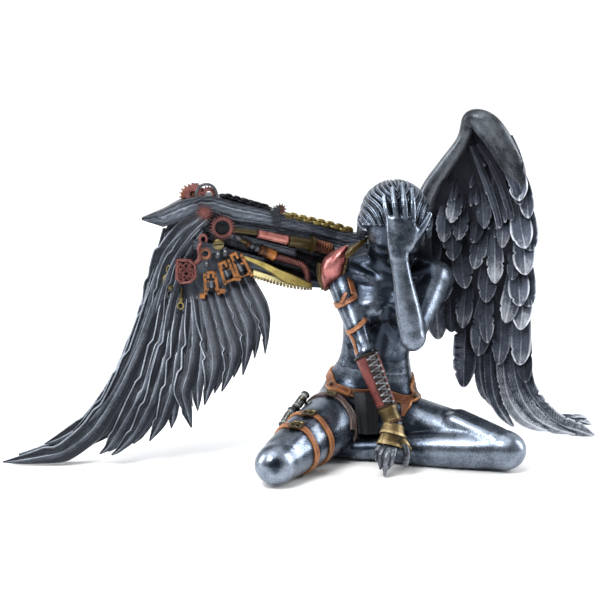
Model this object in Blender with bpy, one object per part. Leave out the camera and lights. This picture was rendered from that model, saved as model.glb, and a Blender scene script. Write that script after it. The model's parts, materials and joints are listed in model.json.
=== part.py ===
# A winged woman seated on the ground, hiding her face in one hand. One wing is feathered, the other is a
# machine of blades, gears and pistons. There are three castings: the figure, and the two wings, each pinned
# to a shoulder blade.

import math

import bmesh
import bpy
import numpy as np

# Sizes are in millimetres until the objects are made. x runs to the viewer's right, y away, z up.
METRE = 0.001
MIDDLE = (2.48, -20.48)
CLAY_STEP = 1.3
CLAY_BOX = ((-45, -105, -16), (165, 65, 200))
JOINT_DEPTH = 24.0
JOINT_GAP = 0.3
JOINT_POCKET = (26, 92, JOINT_DEPTH, 60, 108, 150)
BELOW_GROUND = (-80, 200, -150, 120, -40, 0)
HAIR_LOCKS, HAIR_RELIEF = 13, 0.7
FIGURE_TRIANGLES = 3900
FEATHERED_TRIANGLES = 2900
MECHANICAL_TRIANGLES = 3100
PEWTER, METALLIC = (0.19, 0.20, 0.22), 0.85
BODY_ROUGHNESS, WING_ROUGHNESS = 0.38, 0.42

FAR = 60.0  # field value of a sample point that no form has reached yet


class Clay:
    """A block of sample points, each holding its distance from the modelled surface, negative inside."""

    def __init__(self, low, high, step):
        self.low = np.array(low, float)
        self.step = step
        size = np.ceil((np.array(high, float) - self.low) / step).astype(int) + 1
        self.shape = tuple(int(n) for n in size)
        self.field = np.full(self.shape, FAR, np.float32)

    def window(self, low, high):
        """The slices of the samples inside a box, and their x, y and z as arrays that broadcast."""
        first = np.clip(np.floor((np.array(low) - self.low) / self.step).astype(int), 0, self.shape)
        last = np.clip(np.ceil((np.array(high) - self.low) / self.step).astype(int) + 1, 0, self.shape)
        region = tuple(slice(int(a), int(b)) for a, b in zip(first, last))
        x, y, z = (
            (self.low[k] + self.step * np.arange(first[k], last[k])).astype(np.float32) for k in range(3)
        )
        return region, (x[:, None, None], y[None, :, None], z[None, None, :])

    def part(self, region):
        """An empty block over some of this one's samples."""
        block = Clay.__new__(Clay)
        block.step = self.step
        block.low = self.low + self.step * np.array([s.start for s in region])
        block.shape = tuple(s.stop - s.start for s in region)
        block.field = np.full(block.shape, FAR, np.float32)
        return block


def curve_through(rows, per_span):
    """Points on a Catmull-Rom curve through the rows, every column treated alike."""
    rows = np.array(rows, float)
    padded = np.vstack([2 * rows[0] - rows[1], rows, 2 * rows[-1] - rows[-2]])
    out = []
    for i in range(1, len(padded) - 2):
        before, start, end, after = padded[i - 1 : i + 3]
        for step in range(per_span):
            t = step / per_span
            out.append(
                0.5
                * (
                    2 * start
                    + (end - before) * t
                    + (2 * before - 5 * start + 4 * end - after) * t**2
                    + (3 * start - before - 3 * end + after) * t**3
                )
            )
    out.append(rows[-1])
    return np.array(out)


def span_distance(points, start, end, side):
    """Distances from the bar's axis and from its surface. Rows hold x, y, z, half width and half depth."""
    axis = (end - start)[:3]
    length = max(float(np.linalg.norm(axis)), 1e-6)
    axis = axis / length
    x, y, z = (points[k] - start[k] for k in range(3))
    share = np.clip((x * axis[0] + y * axis[1] + z * axis[2]) / length, 0, 1)
    x, y, z = (value - share * length * axis[k] for k, value in enumerate((x, y, z)))
    reach = np.sqrt(x * x + y * y + z * z)
    width = start[3] + (end[3] - start[3]) * share
    if side is None:
        return reach, reach - width
    depth = start[4] + (end[4] - start[4]) * share
    across = side - axis * float(np.dot(side, axis))
    across /= np.linalg.norm(across)
    front = np.cross(axis, across)
    u = x * across[0] + y * across[1] + z * across[2]
    v = x * front[0] + y * front[1] + z * front[2]
    thin = np.minimum(width, depth)
    rest = np.maximum(reach * reach - u * u - v * v, 0)
    scaled = np.sqrt((u / width) ** 2 + (v / depth) ** 2 + rest / thin**2)
    return reach, reach - np.where(scaled > 1e-3, reach / np.maximum(scaled, 1e-3), thin)


def bar_field(clay, rows, side=None, per_span=4, margin=8.0):
    """The window around a smooth limb through the rows, its samples, and their distance to the limb."""
    curve = curve_through(rows, per_span)
    across = None if side is None else np.array(side, float)
    radius = curve[:, 3:].max(axis=1) + margin
    region, points = clay.window(
        (curve[:, :3] - radius[:, None]).min(axis=0), (curve[:, :3] + radius[:, None]).max(axis=0)
    )
    local = clay.part(region)
    nearest = local.field.copy()
    for start, end in zip(curve, curve[1:]):
        spread = max(start[3:].max(), end[3:].max()) + margin
        low, high = np.minimum(start, end)[:3] - spread, np.maximum(start, end)[:3] + spread
        part, samples = local.window(low, high)
        if all(s.stop > s.start for s in part):
            reach, distance = span_distance(samples, start, end, across)
            closer = reach < nearest[part]
            nearest[part] = np.where(closer, reach, nearest[part])
            local.field[part] = np.where(closer, distance, local.field[part])
    return region, points, local.field


def joined(first, second, blend):
    """Smooth union of two fields."""
    if blend <= 0:
        return np.minimum(first, second)
    share = np.clip(0.5 + 0.5 * (second - first) / blend, 0, 1)
    return second * (1 - share) + first * share - blend * share * (1 - share)


def add_bar(clay, rows, side=None, blend=3.0, per_span=4):
    """Adds a limb through the rows to the clay, with a fillet of about the blend's width."""
    region, _, field = bar_field(clay, rows, side, per_span, margin=blend + 2 * clay.step)
    clay.field[region] = joined(clay.field[region], field, blend)


def cut_bar(clay, rows, side=None, blend=2.0, per_span=4):
    """Presses a hollow through the rows into the clay."""
    region, _, field = bar_field(clay, rows, side, per_span, margin=blend + 2 * clay.step)
    clay.field[region] = -joined(-clay.field[region], field, blend)


def moved(first, second, by_first, by_second):
    """The samples without their last layer along two axes, or without their first where it moves by one."""
    pick = [slice(None)] * 3
    pick[first] = slice(1, None) if by_first else slice(0, -1)
    pick[second] = slice(1, None) if by_second else slice(0, -1)
    return tuple(pick)


def without_pinches(inside):
    """Fills samples where the surface would touch itself along an edge or at a corner."""
    inside = inside.copy()
    for _ in range(12):
        changed = 0
        for a, b in ((0, 1), (0, 2), (1, 2)):
            corners = [inside[moved(a, b, p, q)] for p, q in ((0, 0), (1, 0), (0, 1), (1, 1))]
            rising = corners[0] & corners[3] & ~corners[1] & ~corners[2]
            falling = corners[1] & corners[2] & ~corners[0] & ~corners[3]
            changed += int(rising.sum() + falling.sum())
            inside[moved(a, b, 1, 0)] |= rising
            inside[moved(a, b, 0, 0)] |= falling
        if not changed:
            break
    return inside


def surface_of(clay, keep_manifold=True):
    """Vertices and four-sided faces of the clay's surface, one vertex for each cell that it crosses."""
    field = clay.field
    inside = field < 0
    if keep_manifold:
        filled = without_pinches(inside)
        field = np.where(filled & ~inside, -0.05 * clay.step, field)
        inside = filled
    nx, ny, nz = (n - 1 for n in clay.shape)
    offsets = [(i, j, k) for i in (0, 1) for j in (0, 1) for k in (0, 1)]
    count = np.zeros((nx, ny, nz), np.uint8)
    for i, j, k in offsets:
        count += inside[i : nx + i, j : ny + j, k : nz + k]
    cells = np.argwhere((count > 0) & (count < 8))
    number = np.full((nx, ny, nz), -1, np.int32)
    number[tuple(cells.T)] = np.arange(len(cells))
    value = {o: field[tuple((cells + o).T)] for o in offsets}
    total = np.zeros((len(cells), 3))
    hits = np.zeros(len(cells))
    for axis in range(3):
        for o in offsets:
            if o[axis]:
                continue
            other = tuple(1 if k == axis else o[k] for k in range(3))
            crossed = (value[o] < 0) != (value[other] < 0)
            gap = np.where(crossed, value[o] - value[other], 1)
            at = np.repeat(np.array([o], float), len(cells), axis=0)
            at[:, axis] = np.clip(value[o] / gap, 0, 1)
            total[crossed] += at[crossed]
            hits += crossed
    vertices = clay.low + clay.step * (cells + total / hits[:, None])
    faces = []
    for axis in range(3):
        b, c = (axis + 1) % 3, (axis + 2) % 3
        lower = [slice(1, -1)] * 3
        upper = [slice(1, -1)] * 3
        lower[axis] = slice(0, -1)
        upper[axis] = slice(1, None)
        near, far = inside[tuple(lower)], inside[tuple(upper)]
        edges = np.argwhere(near != far)
        facing = near[tuple(edges.T)]
        edges = edges + np.array([0 if k == axis else 1 for k in range(3)])
        ring = []
        for db, dc in ((-1, -1), (0, -1), (0, 0), (-1, 0)):
            cell = edges.copy()
            cell[:, b] += db
            cell[:, c] += dc
            ring.append(number[tuple(cell.T)])
        quad = np.stack(ring, axis=1)
        quad[~facing] = quad[~facing][:, ::-1]
        faces.append(quad)
    return vertices, np.vstack(faces)


# Joints of the figure, in figure millimetres: x to the viewer's right, y away, z up from the ground.
HIP_RIGHT, KNEE_RIGHT, ANKLE_RIGHT, TOE_RIGHT = (29, 0, 27), (-15.5, -78, 14), (-1, 14, 9), (6, 48, 6)
HIP_LEFT, KNEE_LEFT, ANKLE_LEFT, TOE_LEFT = (65, 0, 23), (134, -44, 13.5), (38, -20, 8), (2, -14, 7)
SHOULDER_RIGHT, ELBOW_RIGHT, WRIST_RIGHT = (26, 4, 122), (43, -29, 76), (61, -45, 32)
SHOULDER_LEFT, ELBOW_LEFT, WRIST_LEFT = (91, 2, 120), (73, -47, 90), (63.4, -44, 143)
HEAD = (62.5, -11, 160.5)
FACE_WAY = (0.03, -0.78, -0.62)

# Limb sections: share of the way along the bone, half width, half depth.
THIGH_RIGHT = (
    (0.0, 21, 21),
    (0.25, 20, 19.5),
    (0.5, 18, 17.5),
    (0.75, 15.8, 15.5),
    (0.92, 14, 14),
    (1.0, 13, 13),
)
THIGH_LEFT = (
    (0.0, 19, 16),
    (0.25, 18, 16),
    (0.5, 17, 15.5),
    (0.75, 15, 13.5),
    (0.92, 13.5, 12.7),
    (1.0, 12.8, 12.4),
)
SHIN = ((0.0, 12, 12), (0.3, 12.5, 12), (0.6, 10.5, 10), (0.85, 7.5, 7), (1.0, 7, 6.5))
UPPER_ARM = ((0.0, 9.5, 9.5), (0.25, 9.6, 9.6), (0.55, 8.6, 8.6), (0.85, 7.4, 7.4), (1.0, 7.6, 7.6))
FOREARM = ((0.0, 7.8, 7.8), (0.2, 8.6, 8.0), (0.45, 7.8, 7.2), (0.75, 6.2, 5.6), (1.0, 6.0, 4.8))

# Torso sections from the seat to the neck: x, y, z, half width, half depth.
TORSO = (
    (47, 9, 12, 31, 22),
    (47, 9, 28, 33.5, 24),
    (48, 9, 43, 31, 21.5),
    (50, 9, 57, 25.5, 18),
    (51, 9, 69, 23, 15.5),
    (53, 8, 82, 24.5, 16.5),
    (55, 6, 95, 27, 18),
    (57, 4, 107, 28, 17.5),
    (58, 4, 118, 26, 14),
    (58, 4, 126, 17, 10),
)

# Fingers of the left hand, over the face: root, middle and tip of each.
LEFT_FINGERS = (
    ((57.6, -38.8, 166.5), (55.6, -36.5, 173), (54.4, -32.5, 179.6)),
    ((62.4, -40.3, 167.5), (60.7, -38.0, 176.5), (59.6, -31.0, 184.8)),
    ((67.4, -40.6, 167.5), (66.7, -38.0, 178), (65.8, -29.5, 187.3)),
    ((72.2, -39.6, 166.5), (72.2, -37.2, 176), (71.8, -31.0, 184)),
)
# Fingers of the right hand, on the ground.
RIGHT_FINGERS = (
    ((55.0, -50.5, 21), (50.6, -56, 17.0), (50.0, -57.5, 10.5)),
    ((57.0, -52, 20.5), (52.6, -59, 14.5), (52.2, -60, 6.0)),
    ((59.4, -52.5, 20), (55.8, -60.5, 13.0), (54.8, -62, 2.0)),
    ((62.0, -51.5, 20), (60.0, -59, 14.0), (57.6, -60.5, 6.5)),
)


def limb(start, end, sections):
    """Bar rows for the sections of a bone from start to end."""
    start, end = np.array(start, float), np.array(end, float)
    return [(*(start + (end - start) * share), width, depth) for share, width, depth in sections]


def model_torso(clay):
    add_bar(clay, TORSO, side=(1, 0, 0), blend=0, per_span=3)
    for x in (31, 63):  # seat
        add_bar(clay, [(x, 10, 19, 19.5), (x * 0.9 + 4.7, 16, 24, 17)], blend=8)
    for x in (47, 69):  # chest
        rows = [(x, -3, 110, 9, 7), (x, -10, 103, 9.4, 8.6), (x, -8.5, 100, 8.6, 8)]
        add_bar(clay, rows, side=(1, 0, 0), blend=6)
    for x, y, z in (SHOULDER_RIGHT, SHOULDER_LEFT):
        out = x - 58
        add_bar(clay, [(58, 6, 132, 7.5), (58 + out * 0.5, 6, 127.5, 8), (x, y + 2, z, 9)], blend=6)
        collar = [
            (58 + out * 0.14, -8.5, 119.5, 1.5),
            (58 + out * 0.5, -8.5, 124, 1.8),
            (58 + out * 0.88, -2, 127.5, 2),
        ]
        add_bar(clay, collar, blend=4)
        add_bar(clay, [(58 + out * 0.55, 15, 119, 7), (58 + out * 0.45, 15.5, 103, 5)], blend=7)
    add_bar(clay, [(58, 5, 124, 9.5), (59, 2, 136, 8.6), (62, -3, 150, 8.8)], blend=6)
    for x in (52, 66):  # the muscles from behind the ears to the notch
        add_bar(clay, [(x, -3, 144, 2.5), (58 + (x - 58) * 0.3, -9, 120, 1.8)], blend=3)
    # midline, navel and spine
    cut_bar(clay, [(58, -16, 100, 1.0), (56, -12, 84, 1.4), (53, -9, 66, 1.4), (50, -15, 44, 1.0)], blend=5)
    cut_bar(clay, [(52, -11, 58, 1.3), (52, -6, 58, 1.0)], blend=2)
    cut_bar(clay, [(58, 20.5, 116, 1.5), (55, 26, 92, 1.8), (51, 26, 68, 2), (48, 33, 44, 1.5)], blend=6)
    for way in (-1, 1):  # lower edge of the ribs
        rows = [(55 + way * 4, -11.5, 90, 1.2), (54 + way * 12, -9.5, 80, 1.4), (53 + way * 20, -2, 76, 1.2)]
        cut_bar(clay, rows, blend=5)


def model_legs(clay):
    for hip, knee, ankle, toe, thigh in (
        (HIP_RIGHT, KNEE_RIGHT, ANKLE_RIGHT, TOE_RIGHT, THIGH_RIGHT),
        (HIP_LEFT, KNEE_LEFT, ANKLE_LEFT, TOE_LEFT, THIGH_LEFT),
    ):
        add_bar(clay, limb(hip, knee, thigh), side=(0, 0.3, 1), blend=7, per_span=3)
        add_bar(clay, limb(knee, ankle, SHIN), side=(0, 0, 1), blend=2.5, per_span=3)
        hip, knee, ankle, toe = (np.array(p, float) for p in (hip, knee, ankle, toe))
        out = (knee - hip) / np.linalg.norm(knee - hip)
        cap = knee + out * 5 + (0, 0, 1.5)
        add_bar(clay, [(*(cap - out * 5), 10), (*cap, 9)], blend=5)
        rows = [
            (*(ankle + (ankle - toe) * 0.12), 6.5, 6),
            (*(ankle + (toe - ankle) * 0.3), 7, 6),
            (*(ankle + (toe - ankle) * 0.7), 8.5, 5),
            (*toe, 6, 3.5),
        ]
        add_bar(clay, rows, side=np.cross(toe - ankle, (0, 0, 1.0)), blend=3)


def model_arms(clay):
    for shoulder, elbow, wrist in (
        (SHOULDER_RIGHT, ELBOW_RIGHT, WRIST_RIGHT),
        (SHOULDER_LEFT, ELBOW_LEFT, WRIST_LEFT),
    ):
        add_bar(clay, limb(shoulder, elbow, UPPER_ARM), side=(1, 0, 0), blend=6, per_span=3)
        add_bar(clay, limb(elbow, wrist, FOREARM), side=(1, 0, 0), blend=2.5, per_span=3)
        back = np.array(elbow, float) - (np.array(shoulder) + np.array(wrist)) / 2
        tip = np.array(elbow, float) + back / np.linalg.norm(back) * 3
        add_bar(clay, [(*elbow, 6.5), (*tip, 5)], blend=3)


def model_left_hand(clay):
    palm = [
        (*WRIST_LEFT, 5.9, 4.6),
        (63.3, -43, 150, 7.4, 4.6),
        (64.2, -41.5, 158, 9.0, 4.2),
        (64.9, -39.8, 166, 9.6, 3.4),
    ]
    add_bar(clay, palm, side=(1, 0, 0), blend=2, per_span=3)
    for root, middle, tip in LEFT_FINGERS:
        add_bar(clay, [(*root, 2.5), (*middle, 2.25), (*tip, 1.7)], blend=0.8, per_span=3)
    thumb = [(69, -41, 149, 4), (75.5, -39, 157, 3), (80, -36.5, 163, 2.5), (83.5, -34, 168.5, 1.8)]
    add_bar(clay, thumb, blend=2.5)
    add_bar(clay, [(70, -43.2, 150, 2.6), (73.5, -41.5, 160, 2.0)], blend=3)


def model_right_hand(clay):
    back_of_hand = [(*WRIST_RIGHT, 5.9, 4.8), (60, -49, 26, 7, 4.6), (58.5, -51.5, 19.5, 7.4, 4.2)]
    add_bar(clay, back_of_hand, side=(1, 0.25, 0), blend=2, per_span=3)
    for root, middle, tip in RIGHT_FINGERS:
        add_bar(clay, [(*root, 2.5), (*middle, 2.4), (*tip, 0.9)], blend=0.8, per_span=3)
    thumb = [(63, -46, 25, 3.5), (68, -52, 19, 2.8), (69.5, -55.5, 13, 2.3), (68.5, -57, 6.5, 0.9)]
    add_bar(clay, thumb, blend=2)


def head_frame():
    """The head's right, face and crown directions, as unit vectors."""
    face = np.array(FACE_WAY, float)
    face /= np.linalg.norm(face)
    right = np.cross((0, 0, 1.0), -face)
    right /= np.linalg.norm(right)
    return right, face, np.cross(right, face)


def in_head(across, out, up):
    """The point this far across, out of the face and up from the head's centre."""
    right, face, crown = head_frame()
    return tuple(np.array(HEAD) + right * across + face * out + crown * up)


def model_head(clay):
    def point(across, out, up, *sizes):
        return (*in_head(across, out, up), *sizes)

    right, face, crown = head_frame()
    add_bar(clay, [point(0, -4, 2, 20), point(0, 3, 1, 20)], blend=3)
    front = [point(0, 8, -4, 15.5, 13), point(0, 7, -14, 14, 13), point(0, 9, -21, 10.5, 10)]
    add_bar(clay, front, side=right, blend=5)
    add_bar(clay, [point(0, 12, -28, 5.5), point(0, 14, -30, 4.5)], blend=5)  # chin
    for way in (-1, 1):
        add_bar(clay, [point(way * 11, 3, -24, 5), point(way * 5, 12, -29, 4)], blend=4)  # jaw
        add_bar(clay, [point(way * 13, 10, -9, 4), point(way * 10, 15, -10, 4)], blend=4)  # cheekbone
        add_bar(clay, [point(way * 10, 17.5, 0, 2.4), point(way * 3, 19.5, 0, 2.2)], blend=3)  # brow
        cut_bar(clay, [point(way * 9.5, 21, -5, 2.6), point(way * 5, 21.5, -5, 2.6)], blend=3)  # eye hollow
        closed_lid = [point(way * 8.5, 16.2, -5.2, 2.6), point(way * 6, 16.8, -5.2, 2.8)]
        add_bar(clay, closed_lid, blend=1)
        ear = [point(way * 18.5, -2, -8, 2.6, 1.4), point(way * 18.5, -1, -14, 1.6, 1.2)]
        add_bar(clay, ear, side=face, blend=1)
    nose = [point(0, 18.5, -2, 1.8), point(0, 22.5, -11, 2.2), point(0, 22, -13.5, 2.6)]
    add_bar(clay, nose, blend=2)
    upper_lip = [point(-4, 18.6, -19.2, 1.5), point(0, 20, -18.8, 1.8), point(4, 18.6, -19.2, 1.5)]
    add_bar(clay, upper_lip, blend=1)
    lower_lip = [point(-3.4, 18, -21.8, 1.5), point(0, 19.2, -22, 2.0), point(3.4, 18, -21.8, 1.5)]
    add_bar(clay, lower_lip, blend=1)


def model_hair(clay):
    """Hair combed back from the face in locks that fan out from the forehead to a knot behind."""
    right, face, crown = head_frame()
    half = np.array((22.8, 25.0, 23.0))
    centre = np.array(in_head(0, -2, 1.5))
    region, points = clay.window(centre - 32, centre + 32)
    offset = [points[k] - centre[k] for k in range(3)]
    across, out, up = (sum(offset[k] * way[k] for k in range(3)) for way in (right, face, crown))
    scaled = np.sqrt((across / half[0]) ** 2 + (out / half[1]) ** 2 + (up / half[2]) ** 2)
    reach = np.sqrt(across**2 + out**2 + up**2)
    turn = np.arctan2(across, up)
    wave = np.sin(HAIR_LOCKS * turn + 2.2 * np.sin(2.3 * turn) + 0.12 * out)
    wave += 0.45 * np.sin(2.37 * HAIR_LOCKS * turn + 1.3 + 0.2 * out)
    cap = reach * (1 - 1 / np.maximum(scaled, 0.05)) - HAIR_RELIEF * wave
    # The hairline: nothing grows in front of this sloping plane, over the face.
    hairline = (out * 0.80 - up * 0.60 - 8.0) + 0.8 * np.abs(wave)
    cap = np.maximum(cap, hairline)
    clay.field[region] = joined(clay.field[region], cap, 0.8)
    knot = [(*in_head(0, -24, -2), 9), (*in_head(0, -30, -5), 10), (*in_head(0, -33, -10), 7)]
    add_bar(clay, knot, blend=2)
    for way in (-1, 1):
        lock = [
            (*in_head(way * 20, 1, -3), 2.6),
            (*in_head(way * 22, -6, -9), 3.4),
            (*in_head(way * 21, -14, -14), 3.2),
            (*in_head(way * 14, -24, -12), 3),
        ]
        add_bar(clay, lock, blend=1.5)


# Straps: middle of the ring, the way it faces, half width, thickness, reach from the middle.
THIGH_STRAP_SHARES = (0.2, 0.53, 0.72)
ARM_STRAPS = (
    ((30.5, -9, 107.0), (-0.48, 0.0, 0.88), 2.1, 1.3, 14),
    ((35.5, -16, 90.6), (-0.61, 0.0, 0.79), 1.9, 1.3, 14),
)
BELT = ((48, 2, 49.0), (0.13, -0.06, 1.0), 3.3, 1.4, 44)
# The shoulder plate: rows from its upper tip to its lower tip.
PAULDRON = (
    (44.0, -3, 152.0, 1.5, 2.5),
    (38.0, -3, 148.5, 3.0, 5.0),
    (32.0, -3, 144.0, 5.0, 7.5),
    (26.0, -2, 138.0, 7.4, 9.5),
    (21.6, 0, 130.5, 8.6, 11.0),
    (18.4, 1, 123.0, 7.2, 10.0),
    (15.8, 1, 116.5, 2.2, 4.0),
)
VIALS = (((4.0, -13, 43.8), (-3.0, -21, 36.0)), ((-5.0, -23, 35.6), (-11.5, -32, 27.0)))
VIAL_RADIUS = 3.0
# The sleeve, the cuff and the flare on the right forearm: low end, high end and thickness.
SLEEVES = ((41, 74.5, 1.5), (33, 41.5, 2.2), (22.5, 33.5, 1.6))
APRON = ((41.5, -20, 47, 10.5, 2.2), (41.5, -24, 36, 10.5, 2.0), (41.5, -27, 22, 10.0, 1.8))
# Where the wings are pinned, x and z, and the radius of the stub that the figure holds out to each.
WING_STUBS, STUB_RADIUS = ((41, 128), (77, 127)), 8


def band_field(clay, body, middle, way, half_width, thickness, reach):
    """A strap laid on the body: the window it fills and its field there."""
    region, points = clay.window(np.array(middle) - reach, np.array(middle) + reach)
    way = np.array(way, float) / np.linalg.norm(way)
    offset = [points[k] - middle[k] for k in range(3)]
    across = np.abs(sum(offset[k] * way[k] for k in range(3))) - half_width
    far = np.sqrt(sum(offset[k] ** 2 for k in range(3))) - reach
    return region, np.maximum(np.maximum(body[region] - thickness, across), far)


def thigh_straps():
    """The three ring straps of the right thigh, square to the bone."""
    hip, knee = np.array(HIP_RIGHT, float), np.array(KNEE_RIGHT, float)
    return [(tuple(hip + (knee - hip) * s), tuple(knee - hip), 1.9, 1.2, 24) for s in THIGH_STRAP_SHARES]


def sleeve_field(clay, body, low, high, thickness):
    """A sleeve on the right forearm between two heights."""
    middle = (np.array(ELBOW_RIGHT) + np.array(WRIST_RIGHT)) / 2
    first = middle - (22, 26, 0) + (0, 0, low - middle[2])
    last = middle + (22, 26, high - middle[2])
    region, points = clay.window(first, last)
    share = (np.clip(points[2], 20, 80) - ELBOW_RIGHT[2]) / (WRIST_RIGHT[2] - ELBOW_RIGHT[2])
    x = ELBOW_RIGHT[0] + (WRIST_RIGHT[0] - ELBOW_RIGHT[0]) * share
    y = ELBOW_RIGHT[1] + (WRIST_RIGHT[1] - ELBOW_RIGHT[1]) * share
    near = np.sqrt((points[0] - x) ** 2 + (points[1] - y) ** 2) - 13
    ends = np.maximum(low - points[2], points[2] - high)
    return region, np.maximum(np.maximum(body[region] - thickness, near), ends)


def model_armour(clay):
    """Straps, belt, sleeve, cuff, shoulder plate, apron and vials, laid over the bare figure."""
    body = clay.field.copy()
    pieces = [band_field(clay, body, *band) for band in (*thigh_straps(), BELT)]
    arm = clay.part(tuple(slice(0, n) for n in clay.shape))
    add_bar(arm, limb(SHOULDER_RIGHT, ELBOW_RIGHT, UPPER_ARM), side=(1, 0, 0), blend=4, per_span=3)
    pieces += [band_field(clay, arm.field, *band) for band in ARM_STRAPS]
    pieces += [sleeve_field(clay, body, *sleeve) for sleeve in SLEEVES]
    for region, field in pieces:
        clay.field[region] = np.minimum(clay.field[region], field)
    add_bar(clay, PAULDRON, side=(-0.8, 0, 0.6), blend=0.6)
    for start, end in VIALS:
        add_bar(clay, [(*start, VIAL_RADIUS), (*end, VIAL_RADIUS)], blend=0.6, per_span=1)
    add_bar(clay, APRON, side=(1, 0, 0), blend=1.5)
    for x, z in WING_STUBS:
        add_bar(clay, [(x, 12, z, STUB_RADIUS), (x, 30, z, STUB_RADIUS)], blend=4, per_span=1)


# The feathered wing. Its surface is a curved sheet: x and z say where, this says how deep.
FEATHER_SHEET = 3.2
FEATHER_THICKNESS = 1.5
PRIMARY_THICKNESS = 2.2


def feathered_depth(x):
    share = min(max((x - 100) / 60, 0), 1)
    return 31 - 27 * share * share * (3 - 2 * share) + max(0, x - 166) * 0.3


# Height, left end and right end of the sheet's rows, top to bottom.
SHEET = (
    (226, 112, 124),
    (215, 109, 134),
    (201, 103, 143),
    (188, 93, 146),
    (172, 82, 150),
    (154, 78, 153),
    (134, 79, 154),
    (114, 81, 154),
    (98, 84, 154),
    (84, 90, 153.5),
    (68, 106, 153.5),
    (52, 119, 155),
)
# The bone along the leading edge: root, elbow, top and the smooth cap that bends down to the right.
FEATHERED_BONE = (
    (77, 31, 120, 8.0, 6.0),
    (79, 31, 140, 7.5, 6.0),
    (86, 30, 171, 6.0, 5.5),
    (97, 28, 190, 5.2, 5.0),
    (108, 24, 207, 4.6, 4.8),
    (112, 21, 219, 4.8, 5.0),
)
FEATHERED_CAP = (
    (109.5, 22, 216, 3.5, 3.5),
    (114.5, 19, 223.5, 6.6, 5.5),
    (124.0, 15, 219.5, 8.8, 5.5),
    (134.0, 10, 206.0, 8.6, 5.0),
    (142.0, 6, 191.0, 7.2, 4.0),
    (147.0, 4, 177.5, 2.6, 2.0),
)
# Front feathers: x and z of the rounded tip, length, half width, how far the root leans to the right, and
# how far the tip lifts.
FRONT_FEATHERS = (
    (94.5, 71.5, 62, 8.2, 1, 2.5),
    (103.5, 76.5, 56, 8.2, 2, 3.2),
    (112.0, 38.5, 70, 8.0, 6, 2.6),
    (121.5, 62.0, 50, 7.4, 3, 3.2),
    (110.6, 80.5, 34, 6.2, 3, 5.0),
    (134.5, 58.0, 52, 7.0, 2, 3.8),
    (127.0, 72.0, 44, 6.2, 2, 5.0),
    (152.0, 48.0, 54, 6.0, -1, 3.0),
    (148.5, 60.0, 48, 6.6, -1, 4.2),
    (96.0, 98.0, 40, 8.0, 2, 4.4),
    (112.0, 108.0, 36, 7.4, 2, 4.6),
    (125.5, 100.0, 38, 7.6, 2, 4.4),
    (138.0, 88.0, 40, 6.6, 1, 4.6),
    (148.0, 84.5, 34, 6.8, 0, 5.6),
    (153.5, 100.0, 34, 5.0, -2, 3.2),
    (147.5, 101.0, 30, 6.8, 0, 6.6),
    (90.5, 122.0, 34, 7.4, 2, 5.0),
    (103.5, 127.0, 30, 7.0, 2, 5.6),
    (117.5, 122.0, 30, 6.8, 2, 5.4),
    (131.0, 114.0, 32, 6.4, 1, 5.4),
    (141.5, 118.0, 30, 5.4, 0, 6.4),
    (150.5, 122.5, 32, 7.2, -1, 7.0),
    (153.5, 138.0, 32, 4.6, -3, 3.6),
    (97.0, 139.5, 24, 6.4, 2, 6.2),
    (107.0, 141.5, 22, 6.0, 2, 6.6),
    (123.5, 150.5, 26, 6.6, 2, 6.0),
    (117.0, 140.0, 22, 5.2, 2, 7.0),
    (135.0, 139.0, 30, 5.6, 0, 6.0),
    (150.0, 140.5, 30, 6.6, -3, 7.8),
    (101.5, 153.0, 20, 5.6, 3, 7.4),
    (136.5, 156.0, 30, 5.2, -3, 6.4),
    (151.8, 160.0, 30, 4.4, -5, 3.6),
    (145.5, 172.0, 28, 5.8, -5, 8.0),
    (146.0, 187.0, 26, 4.6, -7, 3.6),
)
# Back feathers, the same way, on the far side of the sheet.
BACK_FEATHERS = (
    (100, 78, 60, 9.5, 0, 2.0),
    (116, 60, 66, 9.5, 1, 2.0),
    (131, 52, 66, 9.0, 0, 2.0),
    (147, 50, 66, 9.0, -1, 2.0),
    (94, 104, 46, 9.0, 1, 3.4),
    (109, 98, 48, 9.0, 1, 3.6),
    (124, 92, 50, 9.0, 0, 3.6),
    (139, 90, 48, 8.6, -1, 3.6),
    (151, 92, 46, 7.0, -2, 3.2),
    (97, 132, 38, 8.4, 2, 4.8),
    (111, 128, 38, 8.4, 1, 5.0),
    (125, 124, 40, 8.4, 0, 5.0),
    (139, 124, 40, 8.0, -1, 5.0),
    (150, 128, 38, 6.8, -3, 4.4),
    (110, 158, 30, 7.6, 2, 6.0),
    (123, 156, 32, 7.6, 1, 6.0),
    (136, 156, 32, 7.4, -2, 6.0),
    (147, 160, 30, 6.0, -5, 5.0),
)
# Long primaries: x and z along the middle, then half width.
PRIMARIES = (
    (
        (150.5, 84, 5.0),
        (151, 60, 5.6),
        (154.5, 43, 6.0),
        (165, 28, 6.4),
        (176, 18, 6.4),
        (190, 12, 5.2),
        (201.4, 7.1, 1.0),
    ),
    ((145, 82, 5.4), (145, 58, 5.8), (150, 38, 6.0), (159, 24, 6.0), (172, 15.5, 5.0), (187, 9.6, 1.0)),
    ((139, 82, 5.4), (138.5, 56, 5.8), (142, 36, 6.0), (150, 23, 5.6), (160, 16.5, 3.6), (168, 13.5, 0.9)),
    ((131, 80, 5.4), (130.5, 54, 5.8), (133, 35, 5.6), (138.5, 23, 4.2), (145.5, 14.8, 0.9)),
    ((124, 76, 5.0), (123.5, 52, 5.0), (126, 37, 4.4), (131.5, 27, 0.9)),
    ((176, 21, 2.6), (186, 18.4, 3.4), (193, 17.2, 3.0), (199.6, 15.2, 0.9)),
    ((178, 22, 2.0), (186, 20.8, 2.4), (191, 20.6, 2.2), (196.4, 19.8, 0.7)),
)
FEATHERED_ROOT = ((77, JOINT_DEPTH + JOINT_GAP, 127, 10, 13), (77, 37, 127, 9, 12))
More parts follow.
